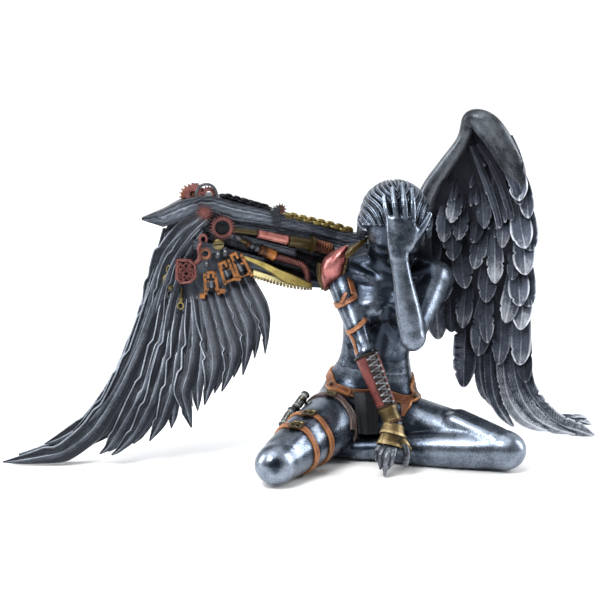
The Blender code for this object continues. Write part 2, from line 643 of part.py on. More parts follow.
# Sections across a blade and a feather, then the share of a feather's length and of its width there.
BLADE_SECTION = ((-1, 0), (-0.55, 0.9), (0.45, 1.0), (1, 0.1), (0.3, -0.9), (-0.6, -0.8))
FEATHER_SECTION = ((-1, -0.2), (-0.5, 0.8), (0.5, 0.8), (1, -0.2), (0, -1.0))
FEATHER_STATIONS = ((0.0, 0.6), (0.45, 0.95), (0.82, 0.9), (1.0, 0.35))


# The mechanical wing. Its fan of blades sweeps forward towards the ground: this is its depth at a height.
FAN_SHEET = 3.4
BLADE_THICKNESS = 1.8
GEAR_ROOT = 0.8
FRAME_HALF_WIDTH = 1.5


def fan_depth(z):
    share = min(max((150 - z) / 150, 0), 1)
    return 14 - 42 * share * share * (3 - 2 * share)


# The fan's sheet: height, left end, right end.
FAN = (
    (164, -80, -48),
    (150, -90, -36),
    (134, -91, -31),
    (116.5, -97, -34),
    (99, -101, -43),
    (82, -107, -54),
    (65, -114, -67.5),
    (50, -122, -77),
    (37.5, -132, -91),
    (27, -147, -110.5),
    (16, -158, -130),
    (7, -170, -152),
)
# The arm's planks: x, low and high edge, front and back.
TOP_BEAM = (
    (-105.5, 157.2, 158.8, 10, 13),
    (-91, 153.0, 164.5, 7, 17),
    (-78, 157.5, 171.5, 5, 19),
    (-66, 163.5, 174.6, 4, 20),
    (-58, 163.0, 174.4, 4, 20),
    (-43, 157.0, 170.0, 4, 20),
    (-17, 153.0, 163.3, 6, 22),
    (8, 146.5, 154.8, 15, 27),
    (25, 140.0, 148.2, 24.4, 32),
    (46, 133.0, 143.0, 24.4, 33),
)
SECOND_PLANK = (
    (-60, 155.0, 164.0, 8, 18),
    (-38, 149.5, 158.5, 7, 18),
    (-15, 145.0, 154.5, 9, 20),
    (8, 138.5, 148.0, 17, 27),
    (25, 132.0, 141.5, 25, 32),
    (44, 126.0, 136.0, 25, 32),
)
BACK_WALL = (
    (-72, 118.0, 166.0, 14, 18),
    (-40, 119.0, 160.0, 14, 18),
    (-12, 114.0, 155.0, 17, 22),
    (10, 110.5, 148.0, 22, 27),
    (28, 110.0, 142.0, 26, 31),
    (48, 112.0, 138.0, 26, 31),
)
LOWER_BAND = (
    (-42, 127.5, 134.0, 3, 12),
    (-24, 122.0, 129.0, 5, 16),
    (-10, 115.5, 122.0, 9, 20),
    (3, 110.5, 116.5, 15, 25),
    (16, 108.5, 113.0, 22, 29),
    (34, 111.0, 116.0, 24.6, 31),
)
# Blades: x, z and half width down the middle, then how far each stands in front of the sheet.
BLADES = (
    (
        (
            (-88, 150, 4),
            (-93, 128, 5.2),
            (-102, 99, 6),
            (-115, 65, 5.6),
            (-127, 47, 4.0),
            (-135.3, 38.6, 0.5),
        ),
        2.0,
    ),
    (
        (
            (-86, 144, 5),
            (-96, 112.5, 6.2),
            (-109, 76, 6.6),
            (-126, 45, 6),
            (-140.5, 28.5, 3.6),
            (-150, 22.4, 0.5),
        ),
        3.4,
    ),
    (
        (
            (-86, 138, 5),
            (-99.5, 97, 6.6),
            (-117, 55.5, 7),
            (-137, 24, 7.6),
            (-156, 10, 7.6),
            (-174, 5.6, 4.8),
            (-187, 3.4, 2.6),
            (-196.8, 2.2, 0.5),
        ),
        4.4,
    ),
    (
        (
            (-83, 122.5, 5),
            (-91.5, 86, 6.4),
            (-104, 50, 6.6),
            (-119.5, 24, 5.2),
            (-127, 12, 2.4),
            (-132.6, 7.6, 0.5),
        ),
        4.0,
    ),
    (
        (
            (-81, 110.5, 5),
            (-87.5, 78, 6.2),
            (-97, 46, 6.2),
            (-109.5, 22, 4.6),
            (-120, 10.5, 1.8),
            (-124.6, 7.4, 0.5),
        ),
        5.6,
    ),
    (
        (
            (-77.5, 103, 5),
            (-81, 74.5, 6.4),
            (-86, 48, 6.4),
            (-92.7, 29, 4.6),
            (-99.3, 16.8, 0.5),
        ),
        6.8,
    ),
    (
        (
            (-72, 105, 4),
            (-71.5, 80, 6.6),
            (-74.3, 61, 7),
            (-78, 48, 6),
            (-74.5, 35.6, 3.6),
            (-71.6, 25.8, 0.5),
        ),
        8.0,
    ),
    (
        (
            (-67, 108, 5),
            (-62, 86, 6.6),
            (-58, 68.7, 7.2),
            (-58.4, 60, 5.8),
            (-61.3, 48, 2.8),
            (-63, 40.4, 0.5),
        ),
        9.0,
    ),
    (
        (
            (-57.4, 111, 5),
            (-52, 93.4, 6.6),
            (-46, 76.3, 7.2),
            (-45.6, 68.7, 6),
            (-48.7, 56.4, 2.8),
            (-51.7, 48.5, 0.5),
        ),
        8.0,
    ),
    (
        (
            (-47, 114.6, 5),
            (-42.3, 102, 6.2),
            (-36.6, 89.6, 6.8),
            (-34.8, 82, 5.6),
            (-36, 68.7, 2.8),
            (-37.8, 58.5, 0.5),
        ),
        7.0,
    ),
    (
        (
            (-37.4, 119.4, 4.6),
            (-33, 110.7, 5.4),
            (-27.4, 100.6, 5.8),
            (-24.3, 92.5, 4.8),
            (-23, 81, 2.4),
            (-23.2, 71.5, 0.4),
        ),
        6.0,
    ),
)
# Gears: middle, radius at the teeth, radius of the hole, number of teeth, thickness.
GEARS = (
    ((-51.9, -1.5, 152.4), 8.8, 4.6, 14, 4.0),
    ((-63.9, -0.5, 162.0), 5.6, 1.4, 10, 3.4),
    ((-63.2, -1.0, 134.6), 4.8, 1.4, 9, 3.4),
    ((-65.5, 1.0, 143.4), 3.8, 1.0, 7, 3.0),
    ((-13.3, 4.0, 164.6), 4.6, 1.2, 8, 5.0),
    ((-74.5, 10.0, 172.4), 8.2, 2.0, 12, 4.0),
    ((-62.6, 9.0, 175.0), 7.6, 3.4, 12, 4.0),
)
# Pipes of the arm: rows of middle and radius, then how many sides.
PIPES = (
    (((-46, 2, 149.6, 2.2), (-27, 3, 147.0, 2.2)), 8),
    (((-28.4, 4, 146.6, 4.2), (-8, 8, 142.4, 4.2)), 10),
    (((-8, 8, 142.4, 5.2), (6, 13, 139.6, 5.2)), 10),
    (((6, 13, 139.6, 6.4), (8.4, 14, 139.2, 6.4)), 10),
    (((8.4, 14, 139.2, 4.2), (21, 20, 136.5, 4.2)), 10),
    (((21, 20, 136.5, 2.6), (34, 27, 134.0, 2.6)), 8),
    (((-47, 2, 146.0, 2.2), (-34, 4, 140.4, 2.6), (-27, 5, 137.0, 2.4)), 8),
    (((-28, 5, 137.4, 4.3), (-17.4, 8, 132.4, 4.3)), 10),
    (
        (
            (-17.4, 8, 132.4, 2.9),
            (-3, 12, 128.0, 2.9),
            (2.6, 15, 124.4, 2.9),
            (4.2, 17, 119.0, 2.9),
            (3, 19, 112.5, 2.9),
        ),
        8,
    ),
    (((-36, 2.5, 131.5, 2.0), (-22, 4, 126.6, 2.4), (-8, 9, 119.0, 2.0), (8, 17, 111.6, 1.6)), 6),
    (((-9, 15, 157.0, 2.4), (14, 22, 151.0, 2.6), (36, 28, 143.6, 2.4)), 6),
    (((-52, 12, 172.5, 2.2), (-36, 12, 168.0, 2.4), (-18, 12, 163.2, 2.0)), 6),
)
# The three upright frames: x, z and lean.
FRAMES = ((-60.0, 113.5, 0.8), (-48.5, 120.5, -0.8), (-38.5, 126.0, -1.6))
MECHANICAL_ROOT = ((41, JOINT_DEPTH + JOINT_GAP, 126, 11, 14), (41, 34, 126, 10, 13))
# The clamp over the top beam: both ends along x, along y and along z.
CLAMP = (-19, -13, 2.5, 12, 152, 164)


def unit(v):
    v = np.array(v, float)
    return v / max(float(np.linalg.norm(v)), 1e-9)


def loft(rings):
    """A closed solid through rings of equally many points, ends capped."""
    count = len(rings[0])
    points = [tuple(p) for ring in rings for p in ring]
    faces = []
    for i in range(len(rings) - 1):
        for k in range(count):
            a, b = i * count + k, i * count + (k + 1) % count
            faces.append((a, b, b + count, a + count))
    faces.append(tuple(range(count))[::-1])
    faces.append(tuple(range(len(points) - count, len(points))))
    return points, faces


def blade_solid(path, face, thick, section):
    """A long plate: rows of middle point and half width, facing the given way."""
    rings = []
    rows = np.array(path, float)
    for i, row in enumerate(rows):
        along = unit(rows[min(i + 1, len(rows) - 1)][:3] - rows[max(i - 1, 0)][:3])
        across = unit(np.cross(along, face))
        front = unit(np.cross(across, along))
        depth = thick * min(1, 0.25 + 0.75 * row[3] / rows[:, 3].max())
        rings.append([row[:3] + across * row[3] * u + front * depth * v for u, v in section])
    return loft(rings)


def sheet_solid(rows, depth_of, thick, columns):
    """A curved sheet between the left and right ends of each row."""
    rings = []
    for z, left, right in rows:
        xs = [left + (right - left) * k / (columns - 1) for k in range(columns)]
        front = [(x, depth_of(x, z), z) for x in xs]
        back = [(x, depth_of(x, z) + thick, z) for x in xs]
        rings.append(front + back[::-1])
    return loft(rings)


def plank_solid(rows):
    """A beam with a four-sided section, given along x."""
    return loft([[(x, y0, z0), (x, y1, z0), (x, y1, z1), (x, y0, z1)] for x, z0, z1, y0, y1 in rows])


def round_solid(rows, sides, side=None):
    """A round bar through rows of middle, half width and perhaps half depth."""
    rings = []
    rows = np.array([(*r, r[3]) if len(r) == 4 else r for r in rows], float)
    for i, row in enumerate(rows):
        along = unit(rows[min(i + 1, len(rows) - 1)][:3] - rows[max(i - 1, 0)][:3])
        across = unit(np.cross(along, (0, 1, 0) if side is None else side))
        front = unit(np.cross(across, along))
        turns = [2 * math.pi * k / sides for k in range(sides)]
        rings.append([row[:3] + across * row[3] * math.cos(t) + front * row[4] * math.sin(t) for t in turns])
    return loft(rings)


def gear_solid(middle, radius, teeth, thick):
    """A toothed wheel facing the viewer."""
    outline = []
    corners = round(teeth) * 4
    for k in range(corners):
        reach = radius if k % 4 in (0, 1) else radius * GEAR_ROOT
        turn = 2 * math.pi * (k + 0.5) / corners
        outline.append((middle[0] + reach * math.cos(turn), middle[2] + reach * math.sin(turn)))
    front, back = middle[1] - thick / 2, middle[1] + thick / 2
    return loft([[(x, front, z) for x, z in outline], [(x, back, z) for x, z in outline]])


def box_solid(x0, x1, y0, y1, z0, z1):
    return loft([[(x0, y, z0), (x1, y, z0), (x1, y, z1), (x0, y, z1)] for y in (y0, y1)])


def feather_path(x, z, length, half_width, lean, lift, way):
    """Rows of a covert feather lying on the sheet, way -1 in front of it and 1 behind it."""
    rows = []
    for share, width in FEATHER_STATIONS:
        px, pz = x + lean * (1 - share), z + length * (1 - share)
        surface = feathered_depth(px) + (0 if way < 0 else FEATHER_SHEET)
        rows.append((px, surface - way * 1.2 + way * (lift + 1.2) * share, pz, half_width * width))
    return rows


def sheet_face(x, way):
    """The direction that the sheet faces at x, to the front for way -1 and to the back for 1."""
    slope = (feathered_depth(x + 1) - feathered_depth(x - 1)) / 2
    return unit((-way * slope, way, 0))


def feathered_solids():
    solids = [sheet_solid(SHEET, lambda x, z: feathered_depth(x), FEATHER_SHEET, 6)]
    solids.append(round_solid(FEATHERED_BONE, 8))
    solids.append(round_solid(FEATHERED_CAP, 10))
    solids.append(round_solid(FEATHERED_ROOT, 10, side=(0, 0, 1)))
    for feathers, way in ((FRONT_FEATHERS, -1), (BACK_FEATHERS, 1)):
        for feather in feathers:
            rows = feather_path(*feather, way)
            solids.append(blade_solid(rows, sheet_face(feather[0], way), FEATHER_THICKNESS, FEATHER_SECTION))
    for i, path in enumerate(PRIMARIES):
        rows = [(x, feathered_depth(x) + 0.6 + 0.35 * i, z, w) for x, z, w in path]
        solids.append(blade_solid(rows, (-0.5, -1, 0.1), PRIMARY_THICKNESS, BLADE_SECTION))
    return solids


def mechanical_solids():
    solids = [sheet_solid(FAN, lambda x, z: fan_depth(z), FAN_SHEET, 3)]
    solids += [plank_solid(rows) for rows in (TOP_BEAM, SECOND_PLANK, BACK_WALL, LOWER_BAND)]
    solids.append(round_solid(MECHANICAL_ROOT, 10, side=(0, 0, 1)))
    for path, front in BLADES:
        rows = []
        for i, (x, z, width) in enumerate(path):
            rows.append((x, fan_depth(z) + 0.5 - front * min(1, 0.35 + i * 0.25), z, width))
        solids.append(blade_solid(rows, (0, -1, 0.15), BLADE_THICKNESS, BLADE_SECTION))
    for middle, radius, hole, teeth, thick in GEARS:
        solids.append(gear_solid(middle, radius, teeth, thick))
        hub = [(middle[0], middle[1] - 3, middle[2], hole), (middle[0], middle[1] + 12, middle[2], hole)]
        solids.append(round_solid(hub, 8, side=(1, 0, 0)))
    for rows, sides in PIPES:
        solids.append(round_solid(rows, sides))
    for x, z, lean in FRAMES:
        for shift in (-3.6, 3.6):
            low, high = (x + shift - lean, 4.0, z - 10), (x + shift + lean, 6.0, z + 8)
            solids.append(round_solid([(*low, FRAME_HALF_WIDTH), (*high, FRAME_HALF_WIDTH)], 4))
        solids.append(round_solid([(x - 5.0, 4.6, z - 4, 1.6), (x + 5.0, 4.6, z - 4, 1.6)], 4))
        solids.append(round_solid([(x - 5.0, 5.2, z + 5, 1.6), (x + 5.0, 5.2, z + 5, 1.6)], 4))
    solids.append(box_solid(*CLAMP))
    return solids


def placed(point):
    return ((point[0] - MIDDLE[0]) * METRE, (point[1] - MIDDLE[1]) * METRE, point[2] * METRE)


def solid_object(name, points, faces):
    mesh = bpy.data.meshes.new(name)
    mesh.from_pydata([placed(p) for p in points], [], [tuple(int(i) for i in face) for face in faces])
    mesh.update()
    obj = bpy.data.objects.new(name, mesh)
    bpy.context.scene.collection.objects.link(obj)
    return obj


def baked(obj):
    """Replaces the object's mesh by what its modifiers make of it."""
    graph = bpy.context.evaluated_depsgraph_get()
    mesh = bpy.data.meshes.new_from_object(obj.evaluated_get(graph))
    obj.modifiers.clear()
    obj.data = mesh


def triangulated(obj):
    shape = bmesh.new()
    shape.from_mesh(obj.data)
    bmesh.ops.triangulate(shape, faces=shape.faces)
    shape.to_mesh(obj.data)
    shape.free()


def facing_out(obj):
    shape = bmesh.new()
    shape.from_mesh(obj.data)
    bmesh.ops.triangulate(shape, faces=shape.faces)
    bmesh.ops.recalc_face_normals(shape, faces=shape.faces)
    shape.to_mesh(obj.data)
    shape.free()


def boolean(obj, operation, other=None, group=None):
    mod = obj.modifiers.new(operation.lower(), "BOOLEAN")
    mod.operation = operation
    mod.solver = "EXACT"
    if group is not None:
        mod.operand_type = "COLLECTION"
        mod.collection = group
    else:
        mod.object = other
    baked(obj)


def cut_box(obj, ends):
    cutter = solid_object("cutter", *box_solid(*ends))
    facing_out(cutter)
    boolean(obj, "DIFFERENCE", cutter)
    bpy.data.objects.remove(cutter)


def is_closed(mesh):
    """Whether every edge of the mesh joins exactly two faces."""
    uses = {}
    for face in mesh.polygons:
        for key in face.edge_keys:
            uses[key] = uses.get(key, 0) + 1
    return all(count == 2 for count in uses.values())


def simplified(obj, triangles):
    """Brings the mesh down to at most this many triangles, and tries fewer until it stays closed."""
    triangulated(obj)
    full = obj.data.copy()
    for attempt in range(12):
        obj.data = full.copy()
        mod = obj.modifiers.new("decimate", "DECIMATE")
        mod.ratio = min(1, (triangles - 25 * attempt) / len(full.polygons))
        baked(obj)
        if is_closed(obj.data):
            break


def volume_of(faces):
    total = 0.0
    for face in faces:
        first = face.verts[0].co
        for i in range(1, len(face.verts) - 1):
            total += first.dot(face.verts[i].co.cross(face.verts[i + 1].co)) / 6
    return total


def largest_body(obj):
    """Keeps the biggest closed shell, and drops crumbs and sealed hollows."""
    shape = bmesh.new()
    shape.from_mesh(obj.data)
    seen, shells = set(), []
    for start in shape.faces:
        if start in seen:
            continue
        shell, queue = [], [start]
        seen.add(start)
        while queue:
            face = queue.pop()
            shell.append(face)
            for edge in face.edges:
                for other in edge.link_faces:
                    if other not in seen:
                        seen.add(other)
                        queue.append(other)
        shells.append(shell)
    shells.sort(key=volume_of, reverse=True)
    spare = [face for shell in shells[1:] for face in shell]
    bmesh.ops.delete(shape, geom=spare, context="FACES")
    loose = [v for v in shape.verts if not v.link_faces]
    bmesh.ops.delete(shape, geom=loose, context="VERTS")
    shape.to_mesh(obj.data)
    shape.free()


def finish(obj, paint_name, roughness):
    paint = bpy.data.materials.new(paint_name)
    paint.use_nodes = True
    shader = paint.node_tree.nodes["Principled BSDF"]
    shader.inputs["Base Color"].default_value = (*PEWTER, 1)
    shader.inputs["Metallic"].default_value = METALLIC
    shader.inputs["Roughness"].default_value = roughness
    obj.data.materials.clear()
    obj.data.materials.append(paint)


def joined_wing(name, solids, triangles):
    base = solid_object(name, *solids[0])
    facing_out(base)
    group = bpy.data.collections.new(name + "_parts")
    others = []
    for points, faces in solids[1:]:
        other = solid_object(name + "_part", points, faces)
        facing_out(other)
        bpy.context.scene.collection.objects.unlink(other)
        group.objects.link(other)
        others.append(other)
    boolean(base, "UNION", group=group)
    for other in others:
        bpy.data.objects.remove(other)
    bpy.data.collections.remove(group)
    largest_body(base)
    simplified(base, triangles)
    return base


def build_figure():
    clay = Clay(*CLAY_BOX, CLAY_STEP)
    model_torso(clay)
    model_legs(clay)
    model_head(clay)
    model_hair(clay)
    model_arms(clay)
    model_left_hand(clay)
    model_right_hand(clay)
    model_armour(clay)
    points, faces = surface_of(clay)
    figure = solid_object("figure", points, faces)
    largest_body(figure)
    facing_out(figure)
    simplified(figure, FIGURE_TRIANGLES)
    cut_box(figure, BELOW_GROUND)
    cut_box(figure, JOINT_POCKET)
    largest_body(figure)
    return figure


for old in list(bpy.data.objects):
    bpy.data.objects.remove(old)
figure = build_figure()
finish(figure, "pewter_body", BODY_ROUGHNESS)
feathered = joined_wing("feathered_wing", feathered_solids(), FEATHERED_TRIANGLES)
finish(feathered, "pewter_feathers", WING_ROUGHNESS)
mechanical = joined_wing("mechanical_wing", mechanical_solids(), MECHANICAL_TRIANGLES)
finish(mechanical, "pewter_blades", WING_ROUGHNESS)
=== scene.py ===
import json
import math

import bpy
import numpy as np
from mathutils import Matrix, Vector
from mathutils.bvhtree import BVHTree

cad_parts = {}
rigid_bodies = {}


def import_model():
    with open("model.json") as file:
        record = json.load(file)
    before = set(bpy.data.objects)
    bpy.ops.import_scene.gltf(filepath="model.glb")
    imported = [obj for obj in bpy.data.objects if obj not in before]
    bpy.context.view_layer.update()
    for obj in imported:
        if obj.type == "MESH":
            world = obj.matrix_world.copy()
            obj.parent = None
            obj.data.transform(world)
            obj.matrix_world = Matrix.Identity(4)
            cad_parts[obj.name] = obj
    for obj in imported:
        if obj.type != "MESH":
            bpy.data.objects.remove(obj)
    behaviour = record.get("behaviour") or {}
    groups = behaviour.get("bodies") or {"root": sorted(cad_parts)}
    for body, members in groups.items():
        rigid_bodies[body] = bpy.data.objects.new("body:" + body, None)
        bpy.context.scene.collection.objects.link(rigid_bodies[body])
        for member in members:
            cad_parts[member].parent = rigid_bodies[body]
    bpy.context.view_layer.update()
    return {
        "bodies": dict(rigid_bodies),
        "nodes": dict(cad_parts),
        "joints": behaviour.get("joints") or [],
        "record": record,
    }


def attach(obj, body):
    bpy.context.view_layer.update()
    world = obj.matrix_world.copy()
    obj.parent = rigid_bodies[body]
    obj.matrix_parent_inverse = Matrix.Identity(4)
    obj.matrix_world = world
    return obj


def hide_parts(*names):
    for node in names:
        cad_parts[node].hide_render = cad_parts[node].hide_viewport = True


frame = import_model()

# Sizes are in millimetres until the objects are made. x runs to the viewer's right, y away, z up.
METRE = 0.001
MIDDLE = (2.48, -20.48)
SKIN_STEP = 0.62
HAIR_STEP = 0.42
SKIN_TRIANGLES = 195000
# Rays and their reach in millimetres, for the painted shade cast by nearby surfaces.
SHADE_RAYS = 8
SHADE_REACH = 26.0
random = np.random.default_rng(7)
# The corners of a square, in turn.
SQUARE = ((-1, -1), (1, -1), (1, 1), (-1, 1))
# The field's value at a sample point that no form has reached yet.
FAR = 60.0


class Clay:
    """A block of sample points, each holding its distance from the modelled surface, negative inside."""

    def __init__(self, low, high, step):
        self.low = np.array(low, float)
        self.step = step
        size = np.ceil((np.array(high, float) - self.low) / step).astype(int) + 1
        self.shape = tuple(int(n) for n in size)
        self.field = np.full(self.shape, FAR, np.float32)

    def window(self, low, high):
        """The slices of the samples inside a box, and their x, y and z as arrays that broadcast."""
        first = np.clip(np.floor((np.array(low) - self.low) / self.step).astype(int), 0, self.shape)
        last = np.clip(np.ceil((np.array(high) - self.low) / self.step).astype(int) + 1, 0, self.shape)
        region = tuple(slice(int(a), int(b)) for a, b in zip(first, last))
        axes = [(self.low[k] + self.step * np.arange(first[k], last[k])).astype(np.float32) for k in range(3)]
        return region, (axes[0][:, None, None], axes[1][None, :, None], axes[2][None, None, :])

    def part(self, region):
        """An empty block over some of this one's samples."""
        block = Clay.__new__(Clay)
        block.step = self.step
        block.low = self.low + self.step * np.array([s.start for s in region])
        block.shape = tuple(s.stop - s.start for s in region)
        block.field = np.full(block.shape, FAR, np.float32)
        return block


def curve_through(rows, per_span):
    """Points on a Catmull-Rom curve through the rows, every column treated alike."""
    rows = np.array(rows, float)
    padded = np.vstack([2 * rows[0] - rows[1], rows, 2 * rows[-1] - rows[-2]])
    out = []
    for i in range(1, len(padded) - 2):
        before, start, end, after = padded[i - 1 : i + 3]
        for step in range(per_span):
            t = step / per_span
            out.append(
                0.5
                * (
                    2 * start
                    + (end - before) * t
                    + (2 * before - 5 * start + 4 * end - after) * t**2
                    + (3 * start - before - 3 * end + after) * t**3
                )
            )
    out.append(rows[-1])
    return np.array(out)


def span_distance(points, start, end, side):
    """How far each point is from the bar's axis and its surface. Rows: x, y, z, half width, half depth."""
    axis = (end - start)[:3]
    length = max(float(np.linalg.norm(axis)), 1e-6)
    axis = axis / length
    x, y, z = (points[k] - start[k] for k in range(3))
    share = np.clip((x * axis[0] + y * axis[1] + z * axis[2]) / length, 0, 1)
    x, y, z = (value - share * length * axis[k] for k, value in enumerate((x, y, z)))
    reach = np.sqrt(x * x + y * y + z * z)
    width = start[3] + (end[3] - start[3]) * share
    if side is None:
        return reach, reach - width
    depth = start[4] + (end[4] - start[4]) * share
    across = side - axis * float(np.dot(side, axis))
    across /= np.linalg.norm(across)
    front = np.cross(axis, across)
    u = x * across[0] + y * across[1] + z * across[2]
    v = x * front[0] + y * front[1] + z * front[2]
    thin = np.minimum(width, depth)
    rest = np.maximum(reach * reach - u * u - v * v, 0)
    scaled = np.sqrt((u / width) ** 2 + (v / depth) ** 2 + rest / thin**2)
    return reach, reach - np.where(scaled > 1e-3, reach / np.maximum(scaled, 1e-3), thin)


def bar_field(clay, rows, side=None, per_span=4, margin=8.0):
    """The window around a smooth limb through the rows, its samples, and their distance to the limb."""
    curve = curve_through(rows, per_span)
    across = None if side is None else np.array(side, float)
    radius = curve[:, 3:].max(axis=1) + margin
    region, points = clay.window(
        (curve[:, :3] - radius[:, None]).min(axis=0), (curve[:, :3] + radius[:, None]).max(axis=0)
    )
    local = clay.part(region)
    nearest = local.field.copy()
    for start, end in zip(curve, curve[1:]):
        spread = max(start[3:].max(), end[3:].max()) + margin
        part, samples = local.window(np.minimum(start, end)[:3] - spread, np.maximum(start, end)[:3] + spread)
        if all(s.stop > s.start for s in part):
            reach, distance = span_distance(samples, start, end, across)
            closer = reach < nearest[part]
            nearest[part] = np.where(closer, reach, nearest[part])
            local.field[part] = np.where(closer, distance, local.field[part])
    return region, points, local.field


def joined(first, second, blend):
    """Smooth union of two fields."""
    if blend <= 0:
        return np.minimum(first, second)
    share = np.clip(0.5 + 0.5 * (second - first) / blend, 0, 1)
    return second * (1 - share) + first * share - blend * share * (1 - share)


def add_bar(clay, rows, side=None, blend=3.0, per_span=4):
    """Adds a limb through the rows to the clay, with a fillet of about the blend's width."""
    region, _, field = bar_field(clay, rows, side, per_span, margin=blend + 2 * clay.step)
    clay.field[region] = joined(clay.field[region], field, blend)


def cut_bar(clay, rows, side=None, blend=2.0, per_span=4):
    """Presses a hollow through the rows into the clay."""
    region, _, field = bar_field(clay, rows, side, per_span, margin=blend + 2 * clay.step)
    clay.field[region] = -joined(-clay.field[region], field, blend)


def surface_of(clay):
    """Vertices and four-sided faces of the clay's surface, one vertex for each cell that it crosses."""
    field = clay.field
    inside = field < 0
    nx, ny, nz = (n - 1 for n in clay.shape)
    offsets = [(i, j, k) for i in (0, 1) for j in (0, 1) for k in (0, 1)]
    count = np.zeros((nx, ny, nz), np.uint8)
    for i, j, k in offsets:
        count += inside[i : nx + i, j : ny + j, k : nz + k]
    cells = np.argwhere((count > 0) & (count < 8))
    number = np.full((nx, ny, nz), -1, np.int32)
    number[tuple(cells.T)] = np.arange(len(cells))
    value = {o: field[tuple((cells + o).T)] for o in offsets}
    total = np.zeros((len(cells), 3))
    hits = np.zeros(len(cells))
    for axis in range(3):
        for o in offsets:
            if o[axis]:
                continue
            other = tuple(1 if k == axis else o[k] for k in range(3))
            crossed = (value[o] < 0) != (value[other] < 0)
            gap = np.where(crossed, value[o] - value[other], 1)
            at = np.repeat(np.array([o], float), len(cells), axis=0)
            at[:, axis] = np.clip(value[o] / gap, 0, 1)
            total[crossed] += at[crossed]
            hits += crossed
    vertices = clay.low + clay.step * (cells + total / hits[:, None])
    faces = []
    for axis in range(3):
        b, c = (axis + 1) % 3, (axis + 2) % 3
        lower = [slice(1, -1)] * 3
        upper = [slice(1, -1)] * 3
        lower[axis] = slice(0, -1)
        upper[axis] = slice(1, None)
        near, far = inside[tuple(lower)], inside[tuple(upper)]
        edges = np.argwhere(near != far)
        facing = near[tuple(edges.T)]
        edges = edges + np.array([0 if k == axis else 1 for k in range(3)])
        ring = []
        for db, dc in ((-1, -1), (0, -1), (0, 0), (-1, 0)):
            cell = edges.copy()
            cell[:, b] += db
            cell[:, c] += dc
            ring.append(number[tuple(cell.T)])
        quad = np.stack(ring, axis=1)
        quad[~facing] = quad[~facing][:, ::-1]
        faces.append(quad)
    return vertices, np.vstack(faces)


# Joints of the figure, in figure millimetres: x to the viewer's right, y away, z up from the ground.
HIP_RIGHT, KNEE_RIGHT, ANKLE_RIGHT, TOE_RIGHT = (29, 0, 27), (-15.5, -78, 14), (-1, 14, 9), (6, 48, 6)
HIP_LEFT, KNEE_LEFT, ANKLE_LEFT, TOE_LEFT = (65, 0, 23), (134, -44, 13.5), (38, -20, 8), (2, -14, 7)
SHOULDER_RIGHT, ELBOW_RIGHT, WRIST_RIGHT = (26, 4, 122), (43, -29, 76), (61, -45, 32)
SHOULDER_LEFT, ELBOW_LEFT, WRIST_LEFT = (91, 2, 120), (73, -47, 90), (63.4, -44, 143)
HEAD = (62.5, -11, 160.5)
FACE_WAY = (0.03, -0.78, -0.62)

# Limb sections: share of the way along the bone, half width, half depth.
THIGH_RIGHT = ((0.0, 21, 21), (0.25, 20, 19.5), (0.5, 18, 17.5), (0.75, 15.8, 15.5), (0.92, 14, 14),
               (1.0, 13, 13))
THIGH_LEFT = ((0.0, 19, 16), (0.25, 18, 16), (0.5, 17, 15.5), (0.75, 15, 13.5), (0.92, 13.5, 12.7),
              (1.0, 12.8, 12.4))
SHIN = ((0.0, 12, 12), (0.3, 12.5, 12), (0.6, 10.5, 10), (0.85, 7.5, 7), (1.0, 7, 6.5))
UPPER_ARM = ((0.0, 9.5, 9.5), (0.25, 9.6, 9.6), (0.55, 8.6, 8.6), (0.85, 7.4, 7.4), (1.0, 7.6, 7.6))
FOREARM = ((0.0, 7.8, 7.8), (0.2, 8.6, 8.0), (0.45, 7.8, 7.2), (0.75, 6.2, 5.6), (1.0, 6.0, 4.8))
UPPER_ARM_RIGHT = ((0.0, 9.5, 9.5), (0.25, 9.3, 9.3), (0.55, 8.0, 8.2), (0.85, 6.5, 6.8), (1.0, 6.4, 6.6))
FOREARM_RIGHT = ((0.0, 6.5, 6.8), (0.2, 6.5, 6.8), (0.45, 6.0, 6.2), (0.75, 5.2, 5.0), (1.0, 4.7, 4.4))

# Torso sections from the seat to the neck: x, y, z, half width, half depth.
TORSO = (
    (47, 9, 12, 31, 22),
    (47, 9, 28, 33.5, 24),
    (48, 9, 43, 31, 21.5),
    (50, 9, 57, 25.5, 18),
    (51, 9, 69, 23, 15.5),
    (53, 8, 82, 24.5, 16.5),
    (55, 6, 95, 27, 18),
    (57, 4, 107, 28, 17.5),
    (58, 4, 118, 26, 14),
    (58, 4, 126, 17, 10),
)

# Fingers of the left hand, over the face: root, middle and tip of each.
LEFT_FINGERS = (
    ((57.6, -38.8, 166.5), (55.6, -36.5, 173), (54.4, -32.5, 179.6)),
    ((62.4, -40.3, 167.5), (60.7, -38.0, 176.5), (59.6, -31.0, 184.8)),
    ((67.4, -40.6, 167.5), (66.7, -38.0, 178), (65.8, -29.5, 187.3)),
    ((72.2, -39.6, 166.5), (72.2, -37.2, 176), (71.8, -31.0, 184)),
)
# Fingers of the right hand, on the ground.
RIGHT_FINGERS = (
    ((55.0, -50.5, 21), (50.6, -56, 17.0), (50.0, -57.5, 10.5)),
    ((57.0, -52, 20.5), (52.6, -59, 14.5), (52.2, -60, 6.0)),
    ((59.4, -52.5, 20), (55.8, -60.5, 13.0), (54.8, -62, 2.0)),
    ((62.0, -51.5, 20), (60.0, -59, 14.0), (57.6, -60.5, 6.5)),
)


def limb(start, end, sections):
    """Bar rows for the sections of a bone from start to end."""
    start, end = np.array(start, float), np.array(end, float)
    return [(*(start + (end - start) * share), width, depth) for share, width, depth in sections]


